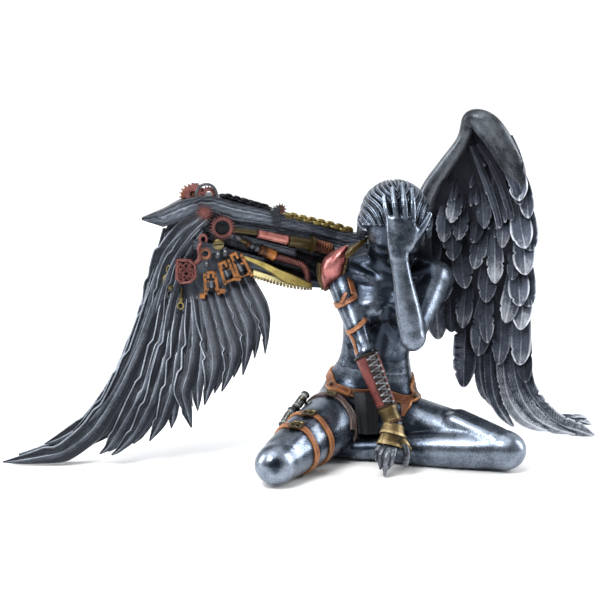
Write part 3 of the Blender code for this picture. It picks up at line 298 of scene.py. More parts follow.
def model_torso(clay):
    add_bar(clay, TORSO, side=(1, 0, 0), blend=0, per_span=3)
    for x in (31, 63):  # seat
        add_bar(clay, [(x, 10, 19, 19.5), (x * 0.9 + 4.7, 16, 24, 17)], blend=8)
    for x in (47, 69):  # chest
        rows = [(x, -3, 110, 9, 7), (x, -10, 103, 9.4, 8.6), (x, -8.5, 100, 8.6, 8)]
        add_bar(clay, rows, side=(1, 0, 0), blend=6)
    for x, y, z in (SHOULDER_RIGHT, SHOULDER_LEFT):
        out = x - 58
        add_bar(clay, [(58, 6, 132, 7.5), (58 + out * 0.5, 6, 127.5, 8), (x, y + 2, z, 9)], blend=6)
        collar = [(58 + out * 0.14, -6.2, 118.5, 2.6), (58 + out * 0.5, -5.6, 122.5, 3.2),
                  (58 + out * 0.88, -1, 126, 4)]
        add_bar(clay, collar, blend=5)
        add_bar(clay, [(58 + out * 0.55, 15, 119, 7), (58 + out * 0.45, 15.5, 103, 5)], blend=7)
    add_bar(clay, [(58, 5, 124, 9.5), (59, 2, 136, 8.6), (62, -3, 150, 8.8)], blend=6)
    for x in (52, 66):  # the muscles from behind the ears to the notch
        add_bar(clay, [(x, -1, 144, 3.2), (58 + (x - 58) * 0.35, -6.6, 120, 2.4)], blend=5)
    # midline, navel and spine
    cut_bar(clay, [(58, -16, 100, 1.0), (56, -12, 84, 1.4), (53, -9, 66, 1.4), (50, -15, 44, 1.0)], blend=5)
    cut_bar(clay, [(52, -11, 58, 1.3), (52, -6, 58, 1.0)], blend=2)
    cut_bar(clay, [(58, 20.5, 116, 1.5), (55, 26, 92, 1.8), (51, 26, 68, 2), (48, 33, 44, 1.5)], blend=6)
    for way in (-1, 1):  # lower edge of the ribs
        rows = [(55 + way * 4, -11.5, 90, 1.2), (54 + way * 12, -9.5, 80, 1.4), (53 + way * 20, -2, 76, 1.2)]
        cut_bar(clay, rows, blend=5)


def model_legs(clay):
    for hip, knee, ankle, toe, thigh in (
        (HIP_RIGHT, KNEE_RIGHT, ANKLE_RIGHT, TOE_RIGHT, THIGH_RIGHT),
        (HIP_LEFT, KNEE_LEFT, ANKLE_LEFT, TOE_LEFT, THIGH_LEFT),
    ):
        add_bar(clay, limb(hip, knee, thigh), side=(0, 0.3, 1), blend=7, per_span=3)
        add_bar(clay, limb(knee, ankle, SHIN), side=(0, 0, 1), blend=2.5, per_span=3)
        hip, knee, ankle, toe = (np.array(p, float) for p in (hip, knee, ankle, toe))
        out = (knee - hip) / np.linalg.norm(knee - hip)
        cap = knee + out * 5 + (0, 0, 1.5)
        add_bar(clay, [(*(cap - out * 5), 10), (*cap, 9)], blend=5)
        rows = [
            (*(ankle + (ankle - toe) * 0.12), 6.5, 6),
            (*(ankle + (toe - ankle) * 0.3), 7, 6),
            (*(ankle + (toe - ankle) * 0.7), 8.5, 5),
            (*toe, 6, 3.5),
        ]
        add_bar(clay, rows, side=np.cross(toe - ankle, (0, 0, 1.0)), blend=3)


def model_arms(clay):
    for shoulder, elbow, wrist, upper, lower, bend in (
        (SHOULDER_RIGHT, ELBOW_RIGHT, WRIST_RIGHT, UPPER_ARM_RIGHT, FOREARM_RIGHT, 5.4),
        (SHOULDER_LEFT, ELBOW_LEFT, WRIST_LEFT, UPPER_ARM, FOREARM, 6.5),
    ):
        add_bar(clay, limb(shoulder, elbow, upper), side=(1, 0, 0), blend=6, per_span=3)
        add_bar(clay, limb(elbow, wrist, lower), side=(1, 0, 0), blend=2.5, per_span=3)
        back = np.array(elbow, float) - (np.array(shoulder) + np.array(wrist)) / 2
        tip = np.array(elbow, float) + back / np.linalg.norm(back) * 3
        add_bar(clay, [(*elbow, bend), (*tip, bend - 1.5)], blend=3)


def model_left_hand(clay):
    palm = [
        (*WRIST_LEFT, 5.9, 4.6),
        (63.3, -43, 150, 7.4, 4.6),
        (64.2, -41.5, 158, 9.0, 4.2),
        (64.9, -39.8, 166, 9.6, 3.4),
    ]
    add_bar(clay, palm, side=(1, 0, 0), blend=2, per_span=3)
    for root, middle, tip in LEFT_FINGERS:
        add_bar(clay, [(*root, 2.5), (*middle, 2.25), (*tip, 1.7)], blend=0.8, per_span=3)
    add_bar(clay, [(69, -41, 149, 4), (75.5, -39, 157, 3), (80, -36.5, 163, 2.5), (83.5, -34, 168.5, 1.8)],
            blend=2.5)
    add_bar(clay, [(70, -43.2, 150, 2.6), (73.5, -41.5, 160, 2.0)], blend=3)


def model_right_hand(clay):
    back_of_hand = [(*WRIST_RIGHT, 5.9, 4.8), (60, -49, 26, 7, 4.6), (58.5, -51.5, 19.5, 7.4, 4.2)]
    add_bar(clay, back_of_hand, side=(1, 0.25, 0), blend=2, per_span=3)
    for root, middle, tip in RIGHT_FINGERS:
        add_bar(clay, [(*root, 2.5), (*middle, 2.4), (*tip, 0.9)], blend=0.8, per_span=3)
    add_bar(clay, [(63, -46, 25, 3.5), (68, -52, 19, 2.8), (69.5, -55.5, 13, 2.3), (68.5, -57, 6.5, 0.9)],
            blend=2)


def head_frame():
    """The head's right, face and crown directions, as unit vectors."""
    face = np.array(FACE_WAY, float)
    face /= np.linalg.norm(face)
    right = np.cross((0, 0, 1.0), -face)
    right /= np.linalg.norm(right)
    return right, face, np.cross(right, face)


def in_head(across, out, up):
    """The point this far across, out of the face and up from the head's centre."""
    right, face, crown = head_frame()
    return tuple(np.array(HEAD) + right * across + face * out + crown * up)


def head_row(across, out, up, *sizes):
    """A bar's row at a point of the head."""
    return (*in_head(across, out, up), *sizes)


def model_head(clay):
    right, face, _ = head_frame()
    add_bar(clay, [head_row(0, -4, 2, 20), head_row(0, 3, 1, 20)], blend=3)
    add_bar(clay, [head_row(0, 8, -4, 15.5, 13), head_row(0, 7, -14, 14, 13), head_row(0, 9, -21, 10.5, 10)],
            side=right, blend=5)
    add_bar(clay, [head_row(0, 12, -28, 5.5), head_row(0, 14, -30, 4.5)], blend=5)  # chin
    for way in (-1, 1):
        add_bar(clay, [head_row(way * 11, 3, -24, 5), head_row(way * 5, 12, -29, 4)], blend=4)  # jaw
        add_bar(clay, [head_row(way * 13, 10, -9, 4), head_row(way * 10, 15, -10, 4)], blend=4)  # cheekbone
        add_bar(clay, [head_row(way * 10, 17.5, 0, 2.4), head_row(way * 3, 19.5, 0, 2.2)], blend=3)  # brow
        cut_bar(clay, [head_row(way * 9.5, 21, -5, 2.6), head_row(way * 5, 21.5, -5, 2.6)],
                blend=3)  # eye hollow
        add_bar(clay, [head_row(way * 8.5, 16.2, -5.2, 2.6), head_row(way * 6, 16.8, -5.2, 2.8)],
                blend=1)  # closed lid
        add_bar(clay, [head_row(way * 18.5, -2, -8, 2.6, 1.4), head_row(way * 18.5, -1, -14, 1.6, 1.2)],
                side=face, blend=1)
    add_bar(clay, [head_row(0, 18.5, -2, 1.8), head_row(0, 22.5, -11, 2.2), head_row(0, 22, -13.5, 2.6)],
            blend=2)  # nose
    add_bar(clay, [head_row(-4, 18.6, -19.2, 1.5), head_row(0, 20, -18.8, 1.8),
                   head_row(4, 18.6, -19.2, 1.5)], blend=1)
    add_bar(clay, [head_row(-3.4, 18, -21.8, 1.5), head_row(0, 19.2, -22, 2.0),
                   head_row(3.4, 18, -21.8, 1.5)], blend=1)


# Straps: where those of the thigh lie on it, then middle, facing and half width of those of the arm.
THIGH_STRAP_SHARES = (0.2, 0.53, 0.72)
ARM_STRAPS = (
    ((30.5, -9, 107.0), (-0.48, 0.0, 0.88), 2.1),
    ((35.5, -16, 90.6), (-0.61, 0.0, 0.79), 1.9),
)
VIALS = (((4.0, -13, 43.8), (-3.0, -21, 36.0)), ((-5.0, -23, 35.6), (-11.5, -32, 27.0)))


# The feathered wing. Its surface is a curved sheet: x and z say where, this says how deep.
def feathered_depth(x):
    share = min(max((x - 100) / 60, 0), 1)
    return 31 - 27 * share * share * (3 - 2 * share) + max(0, x - 166) * 0.3


# Height, left end and right end of the sheet's rows, top to bottom.
SHEET = (
    (226, 112, 124),
    (215, 109, 134),
    (201, 103, 143),
    (188, 93, 146),
    (172, 82, 150),
    (154, 78, 153),
    (134, 79, 154),
    (114, 81, 154),
    (98, 84, 154),
    (84, 90, 153.5),
    (68, 106, 153.5),
    (52, 119, 155),
)
# The bone along the leading edge: root, elbow, top and the smooth cap that bends down to the right.
FEATHERED_BONE = (
    (77, 31, 120, 8.0, 6.0),
    (79, 31, 140, 7.5, 6.0),
    (86, 30, 171, 6.0, 5.5),
    (97, 28, 190, 5.2, 5.0),
    (108, 24, 207, 4.6, 4.8),
    (112, 21, 219, 4.8, 5.0),
)
FEATHERED_CAP = (
    (109.5, 22, 216, 3.5, 3.5),
    (114.5, 19, 223.5, 6.6, 5.5),
    (124.0, 15, 219.5, 8.8, 5.5),
    (134.0, 10, 206.0, 8.6, 5.0),
    (142.0, 6, 191.0, 7.2, 4.0),
    (147.0, 4, 177.5, 2.6, 2.0),
)
# Front feathers: x and z of the rounded tip, length, half width, lean of the root, lift of the tip.
FRONT_FEATHERS = (
    (94.5, 71.5, 62, 8.2, 1, 2.5),
    (103.5, 76.5, 56, 8.2, 2, 3.2),
    (112.0, 38.5, 70, 8.0, 6, 2.6),
    (121.5, 62.0, 50, 7.4, 3, 3.2),
    (110.6, 80.5, 34, 6.2, 3, 5.0),
    (134.5, 58.0, 52, 7.0, 2, 3.8),
    (127.0, 72.0, 44, 6.2, 2, 5.0),
    (152.0, 48.0, 54, 6.0, -1, 3.0),
    (148.5, 60.0, 48, 6.6, -1, 4.2),
    (96.0, 98.0, 40, 8.0, 2, 4.4),
    (112.0, 108.0, 36, 7.4, 2, 4.6),
    (125.5, 100.0, 38, 7.6, 2, 4.4),
    (138.0, 88.0, 40, 6.6, 1, 4.6),
    (148.0, 84.5, 34, 6.8, 0, 5.6),
    (153.5, 100.0, 34, 5.0, -2, 3.2),
    (147.5, 101.0, 30, 6.8, 0, 6.6),
    (90.5, 122.0, 34, 7.4, 2, 5.0),
    (103.5, 127.0, 30, 7.0, 2, 5.6),
    (117.5, 122.0, 30, 6.8, 2, 5.4),
    (131.0, 114.0, 32, 6.4, 1, 5.4),
    (141.5, 118.0, 30, 5.4, 0, 6.4),
    (150.5, 122.5, 32, 7.2, -1, 7.0),
    (153.5, 138.0, 32, 4.6, -3, 3.6),
    (97.0, 139.5, 24, 6.4, 2, 6.2),
    (107.0, 141.5, 22, 6.0, 2, 6.6),
    (123.5, 150.5, 26, 6.6, 2, 6.0),
    (117.0, 140.0, 22, 5.2, 2, 7.0),
    (135.0, 139.0, 30, 5.6, 0, 6.0),
    (150.0, 140.5, 30, 6.6, -3, 7.8),
    (101.5, 153.0, 20, 5.6, 3, 7.4),
    (136.5, 156.0, 30, 5.2, -3, 6.4),
    (151.8, 160.0, 30, 4.4, -5, 3.6),
    (145.5, 172.0, 28, 5.8, -5, 8.0),
    (146.0, 187.0, 26, 4.6, -7, 3.6),
)
# Back feathers, the same way, on the far side of the sheet.
BACK_FEATHERS = (
    (100, 78, 60, 9.5, 0, 2.0),
    (116, 60, 66, 9.5, 1, 2.0),
    (131, 52, 66, 9.0, 0, 2.0),
    (147, 50, 66, 9.0, -1, 2.0),
    (94, 104, 46, 9.0, 1, 3.4),
    (109, 98, 48, 9.0, 1, 3.6),
    (124, 92, 50, 9.0, 0, 3.6),
    (139, 90, 48, 8.6, -1, 3.6),
    (151, 92, 46, 7.0, -2, 3.2),
    (97, 132, 38, 8.4, 2, 4.8),
    (111, 128, 38, 8.4, 1, 5.0),
    (125, 124, 40, 8.4, 0, 5.0),
    (139, 124, 40, 8.0, -1, 5.0),
    (150, 128, 38, 6.8, -3, 4.4),
    (110, 158, 30, 7.6, 2, 6.0),
    (123, 156, 32, 7.6, 1, 6.0),
    (136, 156, 32, 7.4, -2, 6.0),
    (147, 160, 30, 6.0, -5, 5.0),
)
# Long primaries: x and z along the middle, then half width.
PRIMARIES = (
    ((150.5, 84, 5.0), (151, 60, 5.6), (154.5, 43, 6.0), (165, 28, 6.4), (176, 18, 6.4), (190, 12, 5.2),
     (201.4, 7.1, 1.0)),
    ((145, 82, 5.4), (145, 58, 5.8), (150, 38, 6.0), (159, 24, 6.0), (172, 15.5, 5.0), (187, 9.6, 1.0)),
    ((139, 82, 5.4), (138.5, 56, 5.8), (142, 36, 6.0), (150, 23, 5.6), (160, 16.5, 3.6), (168, 13.5, 0.9)),
    ((131, 80, 5.4), (130.5, 54, 5.8), (133, 35, 5.6), (138.5, 23, 4.2), (145.5, 14.8, 0.9)),
    ((124, 76, 5.0), (123.5, 52, 5.0), (126, 37, 4.4), (131.5, 27, 0.9)),
    ((176, 21, 2.6), (186, 18.4, 3.4), (193, 17.2, 3.0), (199.6, 15.2, 0.9)),
    ((178, 22, 2.0), (186, 20.8, 2.4), (191, 20.6, 2.2), (196.4, 19.8, 0.7)),
)


# The mechanical wing. Depth of its fan of blades at a height, and of its arm along x.
def fan_depth(z):
    share = min(max((150 - z) / 150, 0), 1)
    return 14 - 42 * share * share * (3 - 2 * share)


# The fan's sheet: height, left end, right end.
FAN = (
    (164, -80, -48),
    (150, -90, -36),
    (134, -91, -31),
    (116.5, -97, -34),
    (99, -101, -43),
    (82, -107, -54),
    (65, -114, -67.5),
    (50, -122, -77),
    (37.5, -132, -91),
    (27, -147, -110.5),
    (16, -158, -130),
    (7, -170, -152),
)
# The arm's planks: x, low and high edge, front and back.
TOP_BEAM = (
    (-105.5, 157.2, 158.8, 10, 13),
    (-91, 153.0, 164.5, 7, 17),
    (-78, 157.5, 171.5, 5, 19),
    (-66, 163.5, 174.6, 4, 20),
    (-58, 163.0, 174.4, 4, 20),
    (-43, 157.0, 170.0, 4, 20),
    (-17, 153.0, 163.3, 6, 22),
    (8, 146.5, 154.8, 15, 27),
    (25, 140.0, 148.2, 24.4, 32),
    (46, 133.0, 143.0, 24.4, 33),
)
SECOND_PLANK = (
    (-60, 155.0, 164.0, 8, 18),
    (-38, 149.5, 158.5, 7, 18),
    (-15, 145.0, 154.5, 9, 20),
    (8, 138.5, 148.0, 17, 27),
    (25, 132.0, 141.5, 25, 32),
    (44, 126.0, 136.0, 25, 32),
)
BACK_WALL = (
    (-72, 118.0, 166.0, 14, 18),
    (-40, 119.0, 160.0, 14, 18),
    (-12, 114.0, 155.0, 17, 22),
    (10, 110.5, 148.0, 22, 27),
    (28, 110.0, 142.0, 26, 31),
    (48, 112.0, 138.0, 26, 31),
)
LOWER_BAND = (
    (-42, 127.5, 134.0, 3, 12),
    (-24, 122.0, 129.0, 5, 16),
    (-10, 115.5, 122.0, 9, 20),
    (3, 110.5, 116.5, 15, 25),
    (16, 108.5, 113.0, 22, 29),
    (34, 111.0, 116.0, 24.6, 31),
)
# Blades: x, z and half width down the middle, then how far each stands in front of the sheet.
BLADES = (
    (((-88, 150, 4), (-93, 128, 5.2), (-102, 99, 6), (-115, 65, 5.6), (-127, 47, 4.0), (-135.3, 38.6, 0.5)),
     2.0),
    (((-86, 144, 5), (-96, 112.5, 6.2), (-109, 76, 6.6), (-126, 45, 6), (-140.5, 28.5, 3.6),
      (-150, 22.4, 0.5)), 3.4),
    (
        (
            (-86, 138, 5),
            (-99.5, 97, 6.6),
            (-117, 55.5, 7),
            (-137, 24, 7.6),
            (-156, 10, 7.6),
            (-174, 5.6, 4.8),
            (-187, 3.4, 2.6),
            (-196.8, 2.2, 0.5),
        ),
        4.4,
    ),
    (((-83, 122.5, 5), (-91.5, 86, 6.4), (-104, 50, 6.6), (-119.5, 24, 5.2), (-127, 12, 2.4),
      (-132.6, 7.6, 0.5)), 4.0),
    (((-81, 110.5, 5), (-87.5, 78, 6.2), (-97, 46, 6.2), (-109.5, 22, 4.6), (-120, 10.5, 1.8),
      (-124.6, 7.4, 0.5)), 5.6),
    (((-77.5, 103, 5), (-81, 74.5, 6.4), (-86, 48, 6.4), (-92.7, 29, 4.6), (-99.3, 16.8, 0.5)), 6.8),
    (((-72, 105, 4), (-71.5, 80, 6.6), (-74.3, 61, 7), (-78, 48, 6), (-74.5, 35.6, 3.6), (-71.6, 25.8, 0.5)),
     8.0),
    (((-67, 108, 5), (-62, 86, 6.6), (-58, 68.7, 7.2), (-58.4, 60, 5.8), (-61.3, 48, 2.8), (-63, 40.4, 0.5)),
     9.0),
    (((-57.4, 111, 5), (-52, 93.4, 6.6), (-46, 76.3, 7.2), (-45.6, 68.7, 6), (-48.7, 56.4, 2.8),
      (-51.7, 48.5, 0.5)), 8.0),
    (((-47, 114.6, 5), (-42.3, 102, 6.2), (-36.6, 89.6, 6.8), (-34.8, 82, 5.6), (-36, 68.7, 2.8),
      (-37.8, 58.5, 0.5)), 7.0),
    (((-37.4, 119.4, 4.6), (-33, 110.7, 5.4), (-27.4, 100.6, 5.8), (-24.3, 92.5, 4.8), (-23, 81, 2.4),
      (-23.2, 71.5, 0.4)), 6.0),
)


def placed(points):
    """Figure millimetres to metres in the frame."""
    return (np.array(points, float) - (MIDDLE[0], MIDDLE[1], 0)) * METRE


def unit(v):
    v = np.array(v, float)
    return v / max(float(np.linalg.norm(v)), 1e-9)


PIECES = []
SLOTS = {"figure": "pewter_body", "feathered_wing": "pewter_feathers", "mechanical_wing": "pewter_blades"}
# The most triangles the hair and the clawed hand may have.
HAIR_TRIANGLES, CLAW_TRIANGLES = 120000, 60000
# Rounds of smoothing that tell what stands out for the painted highlight, and the height in millimetres that
# counts as fully raised.
SPREAD, RELIEF = 2, 0.25


def make_piece(name, points, faces, paint, node, coords=None, crease=None, lift=0.0, shades_and_highlights=None):
    """A mesh piece of the finished figurine, standing for a casting and riding on it."""
    mesh = bpy.data.meshes.new(name)
    mesh.from_pydata(placed(points).tolist(), [], [tuple(int(i) for i in face) for face in faces])
    mesh.validate()
    mesh.shade_smooth()
    if crease is not None:
        mesh.set_sharp_from_angle(angle=math.radians(crease))
    if coords is not None:
        layer = mesh.attributes.new("weave", "FLOAT_VECTOR", "POINT")
        layer.data.foreach_set("vector", np.array(coords, np.float32).ravel())
    # Offsets of painted shade and painted highlight for each vertex.
    if shades_and_highlights is not None:
        add_values(mesh, "shade_and_highlight", shades_and_highlights)
    mesh.materials.append(paint)
    obj = bpy.data.objects.new(name, mesh)
    bpy.context.scene.collection.objects.link(obj)
    obj["node"], obj["slot"] = node, SLOTS[node]
    obj["spread"], obj["relief"], obj["lift"] = SPREAD, RELIEF, lift
    PIECES.append(obj)
    return obj


def add_values(mesh, name, values):
    """One number for each vertex, which the paints can read by its name."""
    layer = mesh.attributes.new(name, "FLOAT", "POINT")
    layer.data.foreach_set("value", np.array(values, np.float32))


def simplified(obj, triangles):
    """The piece with its mesh brought down to about this many triangles."""
    count = sum(len(face.vertices) - 2 for face in obj.data.polygons)
    if count > triangles:
        mod = obj.modifiers.new("decimate", "DECIMATE")
        mod.ratio = triangles / count
        graph = bpy.context.evaluated_depsgraph_get()
        mesh = bpy.data.meshes.new_from_object(obj.evaluated_get(graph))
        obj.modifiers.clear()
        obj.data = mesh
    return obj


class Shapes:
    """Collects closed solids that become one piece."""

    def __init__(self):
        self.points, self.faces, self.coords, self.shades_and_highlights = [], [], [], []

    def add(self, points, faces, coords=None, shades_and_highlights=None):
        start = len(self.points)
        self.points += [tuple(float(c) for c in p) for p in points]
        self.faces += [tuple(int(i) + start for i in face) for face in faces]
        self.coords += [tuple(c) for c in coords] if coords is not None else [(0.0, 0.0, 0.0)] * len(points)
        self.shades_and_highlights += list(shades_and_highlights) if shades_and_highlights is not None else [0.0] * len(points)

    def piece(self, name, paint, node, crease=None, lift=0.0):
        return make_piece(name, self.points, self.faces, paint, node, self.coords, crease, lift, self.shades_and_highlights)


def add_pieces(rows, paints, node="mechanical_wing"):
    """One piece for each row: its shapes, name, paint, the angle of its creases and how much paler it is."""
    for shapes, name, paint, crease, lift in rows:
        shapes.piece(name, paints[paint], node, crease, lift)


def loft(rings, closed=False):
    """A solid through rings of equally many points, its ends capped unless it closes on itself."""
    count = len(rings[0])
    points = [tuple(p) for ring in rings for p in ring]
    faces = []
    for i in range(len(rings) if closed else len(rings) - 1):
        for k in range(count):
            a, b = i * count + k, i * count + (k + 1) % count
            c, d = ((i + 1) % len(rings)) * count + (k + 1) % count, ((i + 1) % len(rings)) * count + k
            faces.append((a, b, c, d))
    if not closed:
        faces.append(tuple(range(count))[::-1])
        faces.append(tuple(range(len(points) - count, len(points))))
    return points, faces


def tangents(points, closed=False):
    points = np.array(points, float)
    if closed:
        return [unit(points[(i + 1) % len(points)] - points[i - 1]) for i in range(len(points))]
    last = len(points) - 1
    return [unit(points[min(i + 1, last)] - points[max(i - 1, 0)]) for i in range(len(points))]


def tube(points, radius, sides=10, closed=False, flat=1.0, side=None):
    """A round bar through the points. The radius is one number or one for each point."""
    points = np.array(points, float)
    radii = np.full(len(points), radius, float) if np.isscalar(radius) else np.array(radius, float)
    ways = tangents(points, closed)
    guide = np.array(side, float) if side is not None else np.array((0.0, 1.0, 0.0))
    if abs(float(np.dot(ways[0], guide))) > 0.9:
        guide = np.array((1.0, 0.0, 0.0))
    rings = []
    across = unit(np.cross(ways[0], guide))
    for point, way, size in zip(points, ways, radii):
        across = unit(across - way * float(np.dot(across, way)))
        front = np.cross(across, way)
        turns = [2 * math.pi * k / sides for k in range(sides)]
        rings.append([point + across * size * math.cos(t) + front * size * flat * math.sin(t) for t in turns])
    return loft(rings, closed)


def turned(start, end, profile, sides=20):
    """A turned solid on the line from start to end: the profile gives share along and radius."""
    start, end = np.array(start, float), np.array(end, float)
    way = unit(end - start)
    guide = np.array((0.0, 1.0, 0.0)) if abs(way[1]) < 0.9 else np.array((1.0, 0.0, 0.0))
    across = unit(np.cross(way, guide))
    front = np.cross(across, way)
    rings = []
    for share, radius in profile:
        middle = start + (end - start) * share
        turns = [2 * math.pi * k / sides for k in range(sides)]
        rings.append([middle + radius * (across * math.cos(t) + front * math.sin(t)) for t in turns])
    return loft(rings)


def ball(middle, radius, squash=(1, 1, 1), count=10):
    rings = []
    for i in range(count + 1):
        turn = math.pi * (i + 0.001) / (count + 0.002)
        r, up = math.sin(turn), math.cos(turn)
        rings.append([
            (
                middle[0] + radius * squash[0] * r * math.cos(2 * math.pi * k / (count * 2)),
                middle[1] + radius * squash[1] * r * math.sin(2 * math.pi * k / (count * 2)),
                middle[2] + radius * squash[2] * up,
            )
            for k in range(count * 2)
        ])
    return loft(rings)


class Field:
    """Reads a clay's distances between its samples."""

    def __init__(self, clay):
        self.low, self.step, self.values = clay.low, clay.step, clay.field

    def at(self, points):
        place = (np.atleast_2d(points) - self.low) / self.step
        base = np.clip(np.floor(place).astype(int), 0, np.array(self.values.shape) - 2)
        part = np.clip(place - base, 0, 1)
        total = np.zeros(len(place))
        for i in (0, 1):
            for j in (0, 1):
                for k in (0, 1):
                    weight = (
                        (part[:, 0] if i else 1 - part[:, 0])
                        * (part[:, 1] if j else 1 - part[:, 1])
                        * (part[:, 2] if k else 1 - part[:, 2])
                    )
                    total += weight * self.values[base[:, 0] + i, base[:, 1] + j, base[:, 2] + k]
        return total

    def slope(self, points):
        points = np.atleast_2d(np.array(points, float))
        out = np.zeros_like(points)
        for k in range(3):
            step = np.zeros(3)
            step[k] = self.step
            out[:, k] = self.at(points + step) - self.at(points - step)
        return out / np.maximum(np.linalg.norm(out, axis=1, keepdims=True), 1e-6)

    def onto(self, points, height=0.0):
        """The points moved along the slope to the surface, or to a height above it."""
        points = np.atleast_2d(np.array(points, float)).copy()
        for _ in range(6):
            points -= self.slope(points) * np.clip(self.at(points) - height, -3, 3)[:, None]
        return points


def ring_path(field, middle, way, count=72, start=0.0, turn=2 * math.pi, reach=30.0):
    """Points where rays from the middle, square to the way, leave the body."""
    way = unit(way)
    first = unit(np.cross(way, (0, 1, 0.001)))
    second = np.cross(way, first)
    out = []
    steps = np.arange(0.5, reach, 0.25)
    closed = turn > 6.28
    for k in range(count):
        angle = start + turn * k / (count if closed else count - 1)
        ray = first * math.cos(angle) + second * math.sin(angle)
        values = field.at(np.array(middle) + steps[:, None] * ray)
        outside = np.nonzero(values > 0)[0]
        out.append(np.array(middle) + ray * (steps[outside[0]] if len(outside) else reach))
    return np.array(out)


STRAP_PROFILE = ((-1.0, -0.5), (-1.0, 0.55), (-0.86, 0.9), (-0.7, 0.78), (0.0, 0.9), (0.7, 0.78), (0.86, 0.9),
                 (1.0, 0.55), (1.0, -0.5), (0.0, -0.5))


def run_of(path):
    """How far along the path each of its points is."""
    steps = np.linalg.norm(np.diff(path[:, :3], axis=0), axis=1)
    return np.concatenate([[0], np.cumsum(steps)])


def strap_on(shapes, field, path, half_width, thickness, closed=False, profile=STRAP_PROFILE):
    """A strap that follows the body's surface along the path."""
    path = field.onto(path)
    ways = np.array(tangents(path, closed))
    widths = np.full(len(path), half_width, float) if np.isscalar(half_width) else np.array(half_width, float)
    out = field.slope(path)
    across = np.cross(ways, out)
    across /= np.maximum(np.linalg.norm(across, axis=1, keepdims=True), 1e-6)
    length = run_of(path)
    columns, coords = [], []
    for u, v in profile:
        edge = field.onto(path + across * (widths * u)[:, None])
        normal = field.slope(edge)
        columns.append(edge + normal * (thickness * v))
        coords.append(np.stack([length, u * widths, np.full(len(path), v)], axis=1))
    rings = np.stack(columns, axis=1)
    points, faces = loft(list(rings), closed)
    shapes.add(points, faces, np.stack(coords, axis=1).reshape(-1, 3))


def line(*points, count=24):
    """Evenly spaced points along straight runs."""
    points = [np.array(p, float) for p in points]
    out = []
    for a, b in zip(points, points[1:]):
        out += [a + (b - a) * k / count for k in range(count)]
    return np.array(out + [points[-1]])


def clay_piece(clay, name, paint, triangles):
    points, faces = surface_of(clay)
    return simplified(make_piece(name, points, faces, paint, "figure"), triangles)


# Spots of painted shade and painted highlight on the skin: painted shadow on the face under the hand, painted
# shade at the kneecap's middle, on the fingers, in the groin and on the belly, and painted highlight round
# the kneecap and on the legs.
# Middle, radius and how much.
SHADE_AND_HIGHLIGHT_SPOTS = (
    ((-15.4, -92.0, 17.5), 7.0, -0.55),
    ((-15.4, -92.0, 17.5), 14.0, 0.22),
    (in_head(-6, 18, -12), 24.0, -0.40),
    ((63.0, -50.0, 155.0), 9.0, -0.15),
    ((43.0, -20.0, 36.0), 16.0, -0.35),
    ((58.0, -14.0, 84.0), 16.0, -0.20),
    ((20.0, -62.0, 30.0), 14.0, 0.15),
    ((100.0, -45.0, 26.0), 16.0, 0.15),
)


# How far above the ground the lowest flesh is, in millimetres.
GROUND_GAP = 0.1


def stand_on_ground(clay):
    """Cuts off what would reach below the ground."""
    heights = clay.low[2] + clay.step * np.arange(clay.shape[2])
    clay.field = np.maximum(clay.field, (GROUND_GAP - heights)[None, None, :].astype(np.float32))


def build_skin(paint):
    clay = Clay((-45, -105, -3), (165, 65, 200), SKIN_STEP)
    model_torso(clay)
    model_legs(clay)
    model_head(clay)
    model_arms(clay)
    model_left_hand(clay)
    model_muscles(clay)
    stand_on_ground(clay)
    skin = clay_piece(clay, "skin", paint, SKIN_TRIANGLES)
    places = np.array([vertex.co for vertex in skin.data.vertices]) / METRE + (MIDDLE[0], MIDDLE[1], 0)
    shades_and_highlights = np.zeros(len(places), np.float32)
    # Painted shade and painted highlight, one spot at a time.
    for middle, radius, amount in SHADE_AND_HIGHLIGHT_SPOTS:
        away = np.linalg.norm(places - middle, axis=1) / radius
        shades_and_highlights += amount * np.exp(-2 * away**2)
    add_values(skin.data, "shade_and_highlight", shades_and_highlights)


def model_muscles(clay):
    """Soft planes over the bare limbs: the thighs and the shoulder blades."""
    for hip, knee in ((HIP_RIGHT, KNEE_RIGHT), (HIP_LEFT, KNEE_LEFT)):
        model_thigh_muscles(clay, hip, knee)
    for x in (44, 72):
        add_bar(clay, [(x, 17.5, 116, 3.0), (x + (58 - x) * 0.35, 20.5, 102, 2.4)], blend=5)


def model_thigh_muscles(clay, hip, knee):
    hip, knee = np.array(hip, float), np.array(knee, float)
    out = unit(knee - hip)
    up = unit(np.array((0, 0, 1.0)) - out * out[2])
    side = np.cross(out, up)
    for way in (-1, 1):
        start, end = hip + (knee - hip) * 0.55, hip + (knee - hip) * 0.9
        rows = [(*(start + up * 13 + side * way * 6), 3.5), (*(end + up * 9.0 + side * way * 6), 2.6)]
        add_bar(clay, rows, blend=5)


# Half width, half depth and half height of the cap of hair.
HAIR_HALF = (23.0, 25.2, 23.2)


